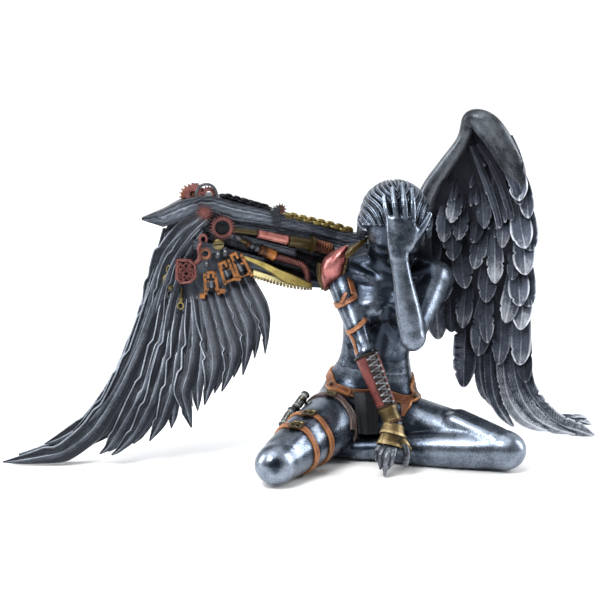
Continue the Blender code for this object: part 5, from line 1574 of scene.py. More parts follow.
# How much paler the paint is at each point of the profile: painted highlight on the rim, painted shade in the
# channel, painted highlight at the band's edges and painted shade on the back.
BLADE_HIGHLIGHT_AND_SHADE = (0.65, 0.75, 0.45, -0.50, -0.55, -0.40, 0.50, 0.40, 0.0, 0.05, 0.50, 0.1, -0.6, -0.6, -0.6)


def blade(shapes, rows, face, thick, profile=BLADE_PROFILE, step=1.5, flip=-1):
    """A plate of the mechanical wing, with a raised rim along one edge and a raised band along the other."""
    rows = np.array(rows, float)
    length = run_of(rows)
    marks = np.linspace(0, length[-1], max(6, int(length[-1] / step)))
    smooth = curve_through(rows, 10)
    smooth_length = run_of(smooth)
    straight = np.stack([np.interp(marks, length, rows[:, k]) for k in range(4)], axis=1)
    curved = np.stack([np.interp(marks / length[-1] * smooth_length[-1], smooth_length, smooth[:, k])
                       for k in range(4)], axis=1)
    path = straight * 0.45 + curved * 0.55
    face = unit(face)
    seed = random.uniform(0, 60)
    steps = (random.uniform(0.3, 0.42), random.uniform(0.55, 0.66), random.uniform(0.78, 0.86))
    if profile is not BLADE_PROFILE:
        steps = ()
    rings, coords, shades_and_highlights = [], [], []
    for i, row in enumerate(path):
        last = len(path) - 1
        way = unit(path[min(i + 2, last)][:3] - path[max(i - 2, 0)][:3])
        across = unit(np.cross(way, face))
        front = unit(np.cross(across, way))
        depth = thick * min(1, 0.25 + 0.75 * row[3] / rows[:, 3].max())
        half = max(row[3], 0.3)
        # the rim's edge is stepped, like the edge of a saw with few teeth
        share = marks[i] / marks[-1]
        near = [1 - abs(share - at) / (0.16 if share < at else 0.03) for at in steps]
        step_in = max([0.0, *near]) * 0.3
        rings.append([row[:3] + across * half * (u + step_in * (u < 0)) * flip + front * depth * v
                      for u, v in profile])
        coords += [(marks[i], u * half, seed) for u, v in profile]
        # Painted highlight and painted shade across the profile.
        shades_and_highlights += BLADE_HIGHLIGHT_AND_SHADE if profile is BLADE_PROFILE else [0.0] * len(profile)
    points, faces = loft(rings)
    shapes.add(points, faces, coords, shades_and_highlights)


def bar(shapes, start, end, half_width, half_depth, face=(0, -1, 0)):
    start, end = np.array(start, float), np.array(end, float)
    way = unit(end - start)
    across = unit(np.cross(way, face))
    front = np.cross(across, way)
    rings = []
    for point in (start, end):
        rings.append([point + across * half_width * a + front * half_depth * b for a, b in SQUARE])
    shapes.add(*loft(rings))


def circle(x, y, z, radius, count, tall=1.0):
    """Points of a ring that faces the viewer."""
    turns = np.linspace(0, 2 * math.pi, count, endpoint=False)
    return [(x + radius * math.cos(t), y, z + radius * tall * math.sin(t)) for t in turns]


def wheel(shapes, middle, radius, hole, teeth, thick, root=0.72, face=(0, -1, 0)):
    """A toothed wheel with an open middle, its narrow teeth standing out from the rim."""
    face = unit(face)
    guide = (0, 0, 1) if abs(face[2]) < 0.9 else (1, 0, 0)
    across = unit(np.cross(face, guide))
    up = np.cross(across, face)
    outer, inner = [], []
    count = teeth * 6
    for k in range(count):
        turn = 2 * math.pi * k / count
        reach = radius if k % 6 in (2, 3) else radius * root
        outer.append((reach * math.cos(turn), reach * math.sin(turn)))
        inner.append((hole * math.cos(turn), hole * math.sin(turn)))
    rings = []
    middle = np.array(middle, float)
    for half, outline in ((thick / 2, outer), (-thick / 2, outer), (-thick / 2, inner), (thick / 2, inner)):
        rings.append([middle + across * x + up * z + face * half for x, z in outline])
    rings = [list(ring) for ring in zip(*rings)]
    shapes.add(*loft(rings, closed=True))


def chain(shapes, path, link, width, radius, lumps=None):
    """Links along the path, each turned a quarter against the one before it."""
    fine = curve_through(path, 12)
    length = run_of(fine)
    count = max(2, int(length[-1] / (link * 0.62)))
    for i in range(count):
        at = length[-1] * (i + 0.5) / count
        middle = np.array([np.interp(at, length, fine[:, k]) for k in range(3)])
        ahead = np.array([np.interp(min(at + 1, length[-1]), length, fine[:, k]) for k in range(3)])
        way = unit(ahead - middle)
        first = unit(np.cross(way, (0, 1, 0.2)))
        side = first if i % 2 else np.cross(way, first)
        ring = []
        for k in range(14):
            turn = 2 * math.pi * k / 14
            stretch = (link - width) / 2 * (1 if math.cos(turn) > 0 else -1)
            ring.append(middle + way * (math.cos(turn) * width / 2 + stretch)
                        + side * math.sin(turn) * width / 2)
        shapes.add(*tube(ring, radius, 7, closed=True))
        if lumps and i % lumps == 0:
            shapes.add(*ball(middle, width * 0.42, count=5))


def plank(shapes, rows, grooves, depth=0.7, step=1.2):
    """A beam along x with long grooves worked into its front."""
    rows = np.array(rows, float)
    xs = np.arange(rows[0, 0], rows[-1, 0], step)
    values = [np.interp(xs, rows[:, 0], rows[:, k]) for k in range(1, 5)]
    rings, coords = [], []
    for i, x in enumerate(xs):
        low, high, front, back = (v[i] for v in values)
        ring = []
        for k in range(21):
            u = k / 20
            cut = depth * max(0.0, math.sin(u * grooves * math.pi * 2 + 0.4 * math.sin(x * 0.06))) ** 3
            cut += 0.18 * math.sin(x * 0.9 + u * 9) * math.sin(u * 31 + x * 0.05)
            round_off = 0.8 * abs(2 * u - 1) ** 8
            ring.append((x, front + cut + round_off, low + (high - low) * u))
            coords.append((x, u * (high - low), 0.5))
        ring += [(x, back, high), (x, back, low)]
        coords += [(x, 0, 0), (x, 0, 0)]
        rings.append(ring)
    points, faces = loft(rings)
    shapes.add(points, faces, coords)


def blade_rows(path, front):
    """Rows of a blade that stands in front of the fan's sheet."""
    rows = []
    for i, (x, z, w) in enumerate(path):
        rows.append((x, fan_depth(z) + 0.5 - front * min(1, 0.35 + i * 0.25), z, w))
    return rows


def between(first, second, share, width):
    """A narrower blade between two neighbours, a little shorter than they are."""
    rows = []
    for t in np.linspace(0, 0.93, 7):
        pair = []
        for path in (first, second):
            path = np.array(path, float)
            marks = np.linspace(0, 1, len(path))
            pair.append([np.interp(t, marks, path[:, k]) for k in range(3)])
        a, b = np.array(pair[0]), np.array(pair[1])
        row = a + (b - a) * share
        rows.append((row[0], row[1], max(row[2] * width * (1 if t < 0.8 else (0.95 - t) * 6), 0.4)))
    return rows


UPPER_PLATES = (
    (((-62, 163, 3.5), (-77, 152, 5.2), (-89.5, 138.5, 6.6), (-96.0, 124, 6.4), (-101.5, 104, 5.0),
      (-108, 82, 0.6)), 8.0),
    (((-61, 160, 3.0), (-72, 149, 4.6), (-82, 136, 5.6), (-90.5, 118, 5.6), (-96.5, 98, 4.4),
      (-101, 80, 0.6)), 6.0),
    (((-64, 152, 2.4), (-70.5, 143, 3.2), (-78.5, 130, 4.0), (-85.0, 112, 4.4), (-88.5, 96, 3.4),
      (-91, 82, 0.6)), 5.0),
)


def wall_panel(back, x0, x1):
    """A riveted panel that stands out from the back wall."""
    corners = []
    for x in (x0, x1):
        xs, lows, highs, _, depths = zip(*BACK_WALL)
        low, high, depth = (np.interp(x, xs, values) for values in (lows, highs, depths))
        corners.append((x, low + 5, high - 8, depth))
    (xa, la, ha, da), (xb, lb, hb, db) = corners
    rings = []
    for lift, inset in ((-0.5, 0), (0.7, 0), (1.1, 1.0)):
        rings.append([(xa + inset, da + lift, la + inset), (xb - inset, db + lift, lb + inset),
                      (xb - inset, db + lift, hb - inset), (xa + inset, da + lift, ha - inset)])
    back.add(*loft(rings))
    for x, z, y in ((xa + 3, la + 3, da), (xb - 3, lb + 3, db), (xb - 3, hb - 3, db), (xa + 3, ha - 3, da)):
        back.add(*ball((x, y + 1.1, z), 1.0, count=5))


def build_fan(paints):
    fan = Shapes()
    rows = curve_through(FAN, 6)
    rings, coords = [], []
    for z, left, right in rows:
        xs = [left + (right - left) * k / 23 for k in range(24)]
        front = [(x, fan_depth(z) + 0.4 * math.sin(x * 0.9 + z * 0.3), z) for x in xs]
        back = [(x, fan_depth(z) + 3.2, z) for x in xs]
        rings.append(front + back[::-1])
        coords += [(z, x, 0) for x in xs] * 2
    fan.add(*loft(rings), coords)
    for (first, front_a), (second, front_b) in zip(BLADES, BLADES[1:]):
        path = between(first, second, 0.5, 0.8)
        blade(fan, blade_rows(path, (front_a + front_b) / 2 - 1.6), (0, -1, 0.15), 1.3)
    for path, front in BLADES:
        blade(fan, blade_rows(path, front), (0, -1, 0.15), 2.2)
    # the broad plates that come down from under the top beam, over the roots of the blades
    for path, y in UPPER_PLATES:
        rows = [(x, y + (fan_depth(z) - y) * (0.0 if i == 0 else 0.75) - 3.0, z, w)
                for i, (x, z, w) in enumerate(path)]
        blade(fan, rows, (0, -1, 0.15), 2.2)
    fan.piece("blades", paints["blade"], "mechanical_wing", crease=32, lift=0.32)
    back = Shapes()
    for path, front in BLADES:
        rows = [(x, fan_depth(z) + 3.6, z, w) for x, z, w in path[:-1]]
        blade(back, rows, (0, 1, -0.1), 1.2, step=2.0, flip=1)
    for x0, x1 in ((-66, -42), (-40, -18), (-16, 6), (8, 28)):
        wall_panel(back, x0, x1)
    # The back of the fan is painted darker than the front blades, as shade.
    back.piece("wing_back", paints["blade"], "mechanical_wing", crease=32, lift=-0.15)


def build_arm(paints):
    planks, dark = Shapes(), Shapes()
    plank(planks, TOP_BEAM, 2.0, 1.3)
    plank(planks, SECOND_PLANK, 2.0, 1.0)
    plank(dark, BACK_WALL, 6.0, 1.2)
    plank(planks, LOWER_BAND, 1.0, 0.5)
    strip = [(-60, 148.5, 154.0, 4.5, 14), (-38, 142.0, 148.0, 4.5, 14), (-20, 137.0, 142.5, 8, 18),
             (-2, 131, 137, 14, 22)]
    plank(planks, strip, 1.5, 0.7)
    strip = [(-72, 138, 146, 5, 15), (-56, 134.5, 142.0, 5.0, 15), (-40, 131.5, 137.0, 5.5, 15),
             (-22, 127, 132, 8, 18)]
    plank(planks, strip, 1.0, 0.5)
    clamp = Shapes()
    bar(clamp, (-16.6, 4.6, 165.6), (-14.9, 4.6, 154.0), 2.4, 3.0)
    for share in (0.12, 0.5, 0.88):
        slide, drop = 1.7 * share, 10.4 * share
        bar(clamp, (-18.9 + slide, 1.4, 165.0 - drop), (-14.3 + slide, 1.4, 165.6 - drop), 0.7, 0.6)
    bar(clamp, (-17.6, 4.2, 165.8), (-13.0, 4.2, 166.6), 1.2, 3.8)
    clamp.piece("clamp", paints["bone"], "mechanical_wing", crease=35, lift=0.1)
    stub = ((24.5, 113), (33.6, 113), (33.6, 139), (24.5, 139))
    dark.add(*loft([[(x, y, z) for y, z in stub] for x in (31, 40, 50.5)]))
    planks.piece("planks", paints["blade"], "mechanical_wing", crease=35, lift=0.34)
    dark.piece("back_wall", paints["gunmetal"], "mechanical_wing", crease=35)


def main_gears(red, copper, gun):
    """The toothed wheels between the pipes and the top beam."""
    wheel(red, (-63.2, -0.5, 164.0), 6.0, 1.2, 18, 1.6, root=0.55)
    hub = ((0, 1.2), (0.02, 2.0), (0.3, 2.2), (1, 2.2))
    red.add(*turned((-63.2, -2.2, 164.0), (-63.2, 4, 164.0), hub, 20))
    wheel(red, (-51.3, -1.5, 154.4), 8.6, 4.9, 24, 2.4, root=0.80)
    gun.add(*turned((-51.3, 0.2, 154.4), (-51.3, 6, 154.4), ((0, 0.4), (0.001, 5.0), (1, 5.0)), 32))
    for turn in (0.5, 2.6, 4.4):
        tip = (-51.3 + 4.6 * math.cos(turn), 0.3, 154.4 + 4.6 * math.sin(turn))
        bar(gun, (-51.3, 0, 154.4), tip, 0.6, 0.5)
    wheel(copper, (-62.7, -1.4, 136.7), 4.7, 2.3, 15, 1.8, root=0.68)
    arc = [(-62.7 + 2.7 * math.cos(t), -0.6, 136.7 + 2.7 * math.sin(t)) for t in np.linspace(0, 5.9, 16)]
    red.add(*tube(arc, 0.7, 8, closed=True))


def slotted_screw(brass, gun):
    head = ((0, 2.9), (0.05, 3.5), (0.3, 3.7), (1, 3.7))
    brass.add(*turned((-53.9, -4.0, 143.2), (-53.9, 3, 143.2), head, 32))
    bar(gun, (-57.0, -4.1, 142.9), (-50.8, -4.1, 143.5), 0.4, 0.25)


def crescent_links(red):
    arc = [(-64.1 + 2.4 * math.cos(t), 0.2, 146.4 + 2.6 * math.sin(t)) for t in np.linspace(-0.9, 4.2, 16)]
    red.add(*tube(arc, 1.0, 8))
    arc = [(-65.5, 0, 143.4), (-66.8, -0.6, 141.0), (-66.6, -1.0, 138.0), (-66.2, -1.0, 135.0),
           (-67.2, -0.8, 131.8), (-70.2, -0.6, 129.8), (-73.8, -0.4, 130.4)]
    red.add(*tube(curve_through(arc, 5),
                  np.array([1.5] * 31) * (0.7 + 0.5 * np.sin(np.linspace(0.2, 2.9, 31))), 10))


def corner(x, z):
    """A corner of the pierced plate, which leans a little."""
    return (x, -1.6 + (z - 124) * 0.02, z)


def pierced_plate(red, gun):
    low_x, high_x, low_z, high_z = -82.0, -69.4, 116.8, 132.6
    frame = [corner(low_x + 0.4, high_z), corner(high_x - 3, high_z - 0.4), corner(high_x, high_z - 4),
             corner(high_x + 0.2, low_z + 4.4), corner(high_x - 3.4, low_z + 0.8), corner(low_x + 3, low_z),
             corner(low_x, low_z + 3.6)]
    red.add(*tube(line(*frame, frame[0], count=3)[:-1], 0.95, 8, closed=True))
    for k in range(5):
        z = 129.6 - k * 2.5
        curve = [(low_x + 0.6 + 2.0 * j, -1.4, z + (0.9 if (j + k) % 2 else -0.9)) for j in range(7)]
        red.add(*tube(curve_through(curve, 4), 0.62, 6))
    for k in range(4):
        for j in range(2):
            t = np.linspace(0, 5.6, 12)
            spiral = [(-79 + 6.2 * j + (0.5 + 0.32 * a) * math.cos(a + k), -2.2,
                       128.3 - 3.1 * k + (0.5 + 0.32 * a) * math.sin(a + k)) for a in t]
            red.add(*tube(spiral, 0.5, 6))
    bar(gun, (-75.7, 1.2, 117.5), (-75.7, 1.2, 132), 6.0, 0.8)


def top_wheels(red, copper, silver, gun):
    wheel(red, (-70.1, 9.5, 174.6), 7.8, 2.4, 16, 4.0, root=0.78, face=(-0.45, -1, 0.25))
    wheel(copper, (-73.5, 12, 173.6), 7.4, 2.2, 15, 2.4, root=0.78, face=(-0.45, -1, 0.25))
    silver.add(*tube(circle(-62.0, 6.4, 175.4, 6.6, 40), 0.95, 10, closed=True))
    wheel(red, (-60.6, 8.0, 174.8), 6.2, 3.0, 18, 2.6, root=0.78)
    red.add(*tube(circle(-60.6, 6.4, 174.8, 3.4, 24), 0.9, 8, closed=True))
    bar(gun, (-77, 11.5, 168.5), (-55, 11.5, 171.5), 3.5, 3.0)


def pins(silver):
    """Small pins with a knob at each end."""
    for (x, y, z), (u, v, w), size in (((-54.0, -1.5, 139.6), (-54.6, -1.5, 133.0), 1.7),
                                       ((-50.0, -1.5, 141.4), (-49.2, -1.5, 134.6), 1.7),
                                       ((-62.2, -1.5, 132.4), (-61.6, -1.5, 127.4), 1.6)):
        silver.add(*turned((x, y, z), (u, v, w),
                           ((0, size * 0.6), (0.05, size), (0.3, size), (0.34, size * 0.6), (0.5, size * 0.6),
                                                  (0.54, size * 1.15), (0.8, size * 1.15), (0.95, size * 0.8),
                            (1, size * 0.3)), 14))


def rings_and_hooks(brass, silver, gun):
    for x, z, size, group in ((-87.1, 124.9, 2.1, brass), (-89.4, 119.0, 1.6, brass),
                              (-86.4, 108.8, 2.3, silver), (-79.6, 101.4, 2.0, brass)):
        y = fan_depth(z) - 5.2
        group.add(*tube(circle(x, y, z, size, 20, tall=1.15), 0.62, 8, closed=True))
    for x, z in ((-86.2, 112.2), (-79.4, 104.6)):
        y = fan_depth(z) - 5.4
        brass.add(*turned((x, y, z + 2.2), (x, y, z - 1.4),
                          ((0, 0.8), (0.05, 1.7), (0.5, 1.9), (0.6, 1.1), (1, 0.9)), 16))
    for x0, z0, x1, z1 in ((-88.2, 122.8, -91.4, 116.0), (-78.9, 112.6, -79.2, 107.0)):
        brass.add(*tube([(x0, fan_depth(z0) - 5.2, z0), (x1, fan_depth(z1) - 5.2, z1)], 0.7, 8))
    for x, z in ((-86.6, 105.0), (-79.8, 97.8)):
        y = fan_depth(z) - 5.0
        for way in (-1, 1):
            gun.add(*tube([(x + way * 2.2, y, z), (x + way * 0.5, y, z - 5.5)], 0.5, 6))


def build_gears(paints):
    red, copper, silver, brass, gun = (Shapes() for _ in range(5))
    main_gears(red, copper, gun)
    slotted_screw(brass, gun)
    crescent_links(red)
    pierced_plate(red, gun)
    top_wheels(red, copper, silver, gun)
    pins(silver)
    rings_and_hooks(brass, silver, gun)
    add_pieces((
        (red, "red_gears", "dark_red", 40, 0.70),
        (copper, "copper_gears", "copper", 40, 0.66),
        (silver, "silver_fittings", "silver", 40, 0.30),
        (brass, "brass_fittings", "brass", 40, 0.6),
        (gun, "dark_fittings", "gunmetal", 40, 0.26),
    ), paints)


def build_frames(paints):
    orange, dark, gold = Shapes(), Shapes(), Shapes()
    for low_l, low_r, high_l, high_r, cross, block in (
        ((-62.7, 109.1), (-54.0, 109.1), (-63.3, 123.2), (-56.7, 124.0), 0.26, (-59.2, 122.7)),
        ((-49.6, 115.8), (-41.9, 118.7), (-53.8, 130.6), (-47.6, 132.8), 0.10, (-50.8, 129.3)),
        ((-40.1, 118.7), (-31.7, 121.7), (-45.0, 135.0), (-39.2, 136.5), 0.14, (-43.5, 135.0)),
    ):
        places = (low_l, low_r, high_l, high_r, block)
        low_l, low_r, high_l, high_r, block = (np.array((x, -1.0, z)) for x, z in places)
        for low, high in ((low_l, high_l), (low_r, high_r)):
            bar(orange, low, high, 0.95, 1.6)
            for share in (0.15, 0.85):
                gold.add(*ball(low + (high - low) * share + (0, -1.6, 0), 0.7, count=5))
        for share, size in ((cross, 0.85), (0.62, 0.6)):
            bar(orange, low_l + (high_l - low_l) * share, low_r + (high_r - low_r) * share, size, 1.2)
        middle = (low_l + low_r) / 2
        way = unit(block - middle)
        profile = ((0, 2.0), (0.02, 2.6), (0.40, 2.6), (0.42, 1.5), (0.80, 1.5), (0.82, 2.3), (1, 2.3))
        dark.add(*turned(block + (0, -0.3, 0) + way * 1.0, middle + (0, -0.3, 0) + way * 2.5, profile, 18))
        bar(orange, block + way * 2.4 + (0, -1.0, 0), block - way * 2.2 + (0, -1.0, 0), 2.5, 1.7)
    for x, z in ((-65.0, 108.2), (-51.6, 111.6)):
        bar(orange, (x - 1.8, -0.8, z), (x + 1.8, -0.8, z - 0.3), 1.5, 1.5)
    add_pieces((
        (orange, "frames", "orange", 40, 0.72),
        (gold, "frame_rivets", "gold", 40, 0.30),
        (dark, "frame_pistons", "gunmetal", 40, 0.3),
    ), paints)


def hose(shapes, path, radius, pitch, depth=0.16, sides=16):
    fine = curve_through(path, 40)
    length = run_of(fine)
    marks = np.arange(0, length[-1], pitch / 6)
    points = np.stack([np.interp(marks, length, fine[:, k]) for k in range(3)], axis=1)
    shapes.add(*tube(points, radius * (1 + depth * np.sin(2 * math.pi * marks / pitch)), sides))


def upper_piston(red, brass, copper, silver):
    """The long piston with its copper coil."""
    brass.add(*tube([(-44.4, -0.4, 152.3), (-36, 0.6, 151.2), (-28.0, 1.8, 149.8)], 1.75, 18))
    cover = ((0, 2.2), (0.02, 2.9), (0.07, 2.9), (0.08, 2.6), (0.9, 3.1), (0.91, 3.4), (0.98, 3.4), (1, 2.6))
    red.add(*turned((-29.0, 1.6, 149.9), (-7.6, 8.0, 143.8), cover, 28))
    barrel = ((0, 2.4), (0.02, 3.5), (0.06, 3.8), (0.94, 3.8), (0.98, 3.4), (1, 2.6))
    brass.add(*turned((-7.8, 8.0, 143.8), (7.4, 13.6, 140.2), barrel, 32))
    flange = ((0, 3.0), (0.1, 5.6), (0.9, 5.6), (1, 3.0))
    brass.add(*turned((6.9, 13.4, 140.3), (8.6, 14.1, 139.9), flange, 36))
    start, end = np.array((8.8, 14.4, 139.7)), np.array((20.4, 20.4, 136.0))
    way = unit(end - start)
    across = unit(np.cross(way, (0, 1, 0)))
    front = np.cross(across, way)
    turns = np.linspace(0, 2 * math.pi, 28, endpoint=False)
    for k in range(7):
        share = (k + 0.5) / 7
        middle = start * (1 - share) + end * share
        ring = [middle + 3.6 * (across * math.cos(t) + front * math.sin(t)) for t in turns]
        copper.add(*tube(ring, 0.62, 8, closed=True))
    copper.add(*turned((8.4, 14.2, 139.8), (21.0, 20.6, 135.9), ((0, 2.9), (1, 2.9)), 20))
    rod = ((0, 2.9), (0.08, 2.9), (0.1, 1.7), (0.5, 1.7), (0.52, 2.5), (0.7, 2.5), (0.72, 1.7), (1, 1.7))
    silver.add(*turned((20.6, 20.5, 136.0), (34.0, 28.0, 131.0), rod, 18))


def lower_piston(silver, brass, orange, dark_red):
    """The short piston with its hexagon nuts and its hose."""
    for start, end, size in (((-42.6, 0.6, 148.6), (-39.6, 1.6, 145.8), 2.3),
                             ((-33.4, 3.2, 141.6), (-30.8, 3.8, 140.2), 2.3),
                             ((-30.0, 4.0, 139.8), (-27.4, 4.6, 138.6), 2.6)):
        silver.add(*turned(start, end, ((0, size * 0.8), (0.12, size), (0.88, size), (1, size * 0.8)), 6))
    silver.add(*turned((-43, 0.5, 149), (-27, 4.8, 138.5), ((0, 1.1), (1, 1.1)), 12))
    neck = ((0, 1.5), (0.1, 1.8), (0.9, 1.8), (1, 1.5))
    brass.add(*turned((-39.6, 1.6, 145.8), (-35.2, 2.8, 143.0), neck, 16))
    collar = ((0, 1.8), (0.2, 2.6), (0.8, 2.6), (1, 1.8))
    orange.add(*turned((-35.2, 2.8, 143.0), (-33.4, 3.2, 141.8), collar, 16))
    profile = ((0, 2.6), (0.02, 3.4), (0.12, 3.7), (0.14, 3.2), (0.2, 3.2), (0.22, 3.5), (0.86, 3.5),
               (0.9, 3.7), (0.96, 3.7), (1, 2.4))
    orange.add(*turned((-27.4, 4.8, 138.6), (-16.2, 8.2, 133.2), profile, 30))
    hose(dark_red, [(-17, 8.0, 133.4), (-8.0, 11, 129.9), (-1.5, 12.6, 127.6), (2.6, 14.2, 124.6),
                    (4.6, 16, 120.4), (5.4, 18.5, 113.0)], 2.15, 1.35)


def lever_and_rack(gold):
    """The long lever and the toothed rack under it."""
    lever = [(-39.5, 0.6, 134.8, 0.8), (-34, 0.8, 132.6, 1.3), (-25.3, 1.6, 128.9, 1.9),
             (-17, 4.4, 123.8, 2.6), (-11.9, 7.0, 120.2, 3.4), (-6, 9.6, 117.0, 3.8), (0, 12.6, 114.3, 2.9),
             (8.0, 17.4, 110.8, 1.7)]
    profile = ((-1, 0), (-0.85, 0.8), (-0.6, 0.65), (0, 1.1), (0.6, 0.65), (0.85, 0.8), (1, 0), (0, -0.9))
    blade(gold, lever, (0.25, -1, 0.1), 1.3, profile=profile)
    rack = np.array([(-31, 3.2, 122.6), (-25, 5.0, 120.4), (-18.7, 7.6, 117.8), (-12, 11.0, 115.4),
                     (-5, 14.2, 113.2), (2, 17.6, 111.6), (8, 20.5, 110.9)], float)
    fine = curve_through(rack, 6)
    rings = [[p + (0, -1.6, 2.2), p + (0, -1.9, -1.0), p + (0, 1.6, -1.0), p + (0, 1.6, 2.2)] for p in fine]
    gold.add(*loft(rings))
    for k in range(1, len(fine) - 1, 2):
        way = unit(fine[k + 1] - fine[k - 1])
        bar(gold, fine[k] + (0, -0.4, -0.4), fine[k] + way * 0.5 + (0, -0.4, -2.9), 0.85, 1.3,
            face=(0, -1, 0))


def clamp_gear(copper):
    wheel(copper, (-12.9, 4.4, 165.6), 4.0, 1.0, 11, 3.2, root=0.7)
    copper.add(*ball((-12.9, 2.6, 165.6), 1.5, count=6))


def chains(gold, dark):
    chain(gold, [(-9.5, 11, 160.4), (3.3, 16, 156.6), (20.2, 23.5, 151.4), (34.0, 28, 146.6)], 5.6, 4.2, 1.15,
          lumps=1)
    chain(gold, [(-8.0, 15, 159.0), (4.3, 20, 155.0), (21.2, 27, 149.8), (33.0, 30, 145.8)], 4.8, 3.6, 1.0,
          lumps=2)
    chain(dark, [(-52, 10, 174.0), (-41.2, 10, 171.0), (-30.3, 10, 167.8), (-20.6, 11, 164.9)], 4.6, 3.4,
          0.85, lumps=3)
    chain(dark, [(-51, 14, 173.4), (-40.2, 14, 170.4), (-29.3, 14, 167.2), (-19.6, 15, 164.3)], 4.0, 3.0, 0.8)


def build_pistons(paints):
    red, brass, copper, silver, orange, dark_red, gold, dark = (Shapes() for _ in range(8))
    upper_piston(red, brass, copper, silver)
    lower_piston(silver, brass, orange, dark_red)
    lever_and_rack(gold)
    clamp_gear(copper)
    chains(gold, dark)
    add_pieces((
        (red, "red_sleeve", "red_metal", 40, 0.30),
        (brass, "brass_pipes", "brass", 40, 0.30),
        (copper, "copper_coil", "copper", 40, 0.52),
        (silver, "silver_rods", "silver", 30, 0.2),
        (orange, "orange_piston", "orange", 40, 0.40),
        (dark_red, "hose", "dark_red", None, 0.5),
        (gold, "gold_work", "gold", 40, 0.62),
        (dark, "dark_chain", "gunmetal", 40, 0.34),
    ), paints)


# How fine the clouds of the paint are, how fine its grain is, the depth of the grain in metres, and how much
# the grain changes the shade.
CLOUD_SCALE, GRAIN_SCALE, GRAIN_DEPTH, SPECK = 130.0, 900.0, 0.0006, 0.3
# How steeply the barbs of a feather run back, and their depth in metres.
BARB_SLOPE, BARB_DEPTH = -1.6, 0.00022


def shader_node(tree, kind, inputs, operation=None):
    """A node whose inputs are each set to a value or joined to another node's output."""
    node = tree.nodes.new("ShaderNode" + kind)
    if operation is not None:
        node.operation = operation
    for name, value in inputs.items():
        if isinstance(value, bpy.types.NodeSocket):
            tree.links.new(value, node.inputs[name])
        else:
            node.inputs[name].default_value = value
    return node


def maths(tree, operation, *values):
    return shader_node(tree, "Math", dict(enumerate(values)), operation).outputs["Value"]


def noise(tree, where, scale, detail, roughness=0.5):
    inputs = {"Vector": where, "Scale": scale, "Detail": detail, "Roughness": roughness}
    return shader_node(tree, "TexNoise", inputs).outputs["Fac"]


def value_named(tree, name, output):
    """What the mesh holds under this name."""
    node = tree.nodes.new("ShaderNodeAttribute")
    node.attribute_name = name
    return node.outputs[output]


def with_streaks(tree, spread, amount):
    """Adds long worn scratches that run along the piece."""
    where = {0: value_named(tree, "weave", "Vector"), 1: (0.07, 1.3, 1.0)}
    stretched = shader_node(tree, "VectorMath", where, "MULTIPLY").outputs["Vector"]
    scratch = noise(tree, stretched, 1.0, 5.0, 0.6)
    return maths(tree, "SUBTRACT", maths(tree, "MULTIPLY_ADD", scratch, amount, spread), amount / 2)


def with_barbs(tree, relief, pitch):
    """Adds the fine barbs that run back from the shaft of a feather."""
    split = shader_node(tree, "SeparateXYZ", {"Vector": value_named(tree, "weave", "Vector")}).outputs
    slope = maths(tree, "MULTIPLY_ADD", maths(tree, "ABSOLUTE", split["Y"]), BARB_SLOPE, split["X"])
    wave = maths(tree, "SINE", maths(tree, "MULTIPLY", slope, 2 * math.pi / pitch))
    height = maths(tree, "MULTIPLY", wave, split["Z"])
    inputs = {"Strength": 0.5, "Distance": BARB_DEPTH, "Height": height, "Normal": relief}
    return shader_node(tree, "Bump", inputs).outputs["Normal"]


def paint_of(name, deep, middle, bright, rough=(0.3, 0.5), metallic=0.85, bump=0.25, weave=None,
             levels=(0.15, 0.55, 0.95), mottle=0.6, streak=0.0):
    """A painted metal or leather: painted shade in the hollows and under nearby parts, painted highlight on
    what stands out, with a fine cast grain.
    """
    paint = bpy.data.materials.new(name)
    paint.use_nodes = True
    tree = paint.node_tree
    where = tree.nodes.new("ShaderNodeTexCoord").outputs["Object"]
    cloud = noise(tree, where, CLOUD_SCALE, 6.0, 0.62)
    fine = noise(tree, where, GRAIN_SCALE, 3.0)
    spread = maths(tree, "MULTIPLY_ADD", cloud, mottle, -mottle / 2)
    if streak:
        spread = with_streaks(tree, spread, streak)
    speck = maths(tree, "MULTIPLY_ADD", fine, SPECK, -SPECK / 2)
    # The painted shading picks the colour: the deep colour is painted shade, the bright one painted
    # highlight, spread at random by the clouds and the grain.
    total = maths(tree, "ADD", maths(tree, "ADD", value_named(tree, "painted_shading", "Fac"), spread), speck)
    total.node.use_clamp = True
    ramp = shader_node(tree, "ValToRGB", {"Fac": total})
    low, high = ramp.color_ramp.elements
    low.position, low.color = levels[0], (*deep, 1)
    high.position, high.color = levels[2], (*bright, 1)
    ramp.color_ramp.elements.new(levels[1]).color = (*middle, 1)
    limits = {"Value": cloud, "From Min": 0.3, "From Max": 0.7, "To Min": rough[0], "To Max": rough[1]}
    shine = shader_node(tree, "MapRange", limits)
    relief = shader_node(tree, "Bump",
                         {"Strength": bump, "Distance": GRAIN_DEPTH, "Height": fine}).outputs["Normal"]
    if weave is not None:
        relief = with_barbs(tree, relief, weave)
    shader = tree.nodes["Principled BSDF"]
    shader.inputs["Metallic"].default_value = metallic
    tree.links.new(ramp.outputs["Color"], shader.inputs["Base Color"])
    tree.links.new(shine.outputs["Result"], shader.inputs["Roughness"])
    tree.links.new(relief, shader.inputs["Normal"])
    return paint


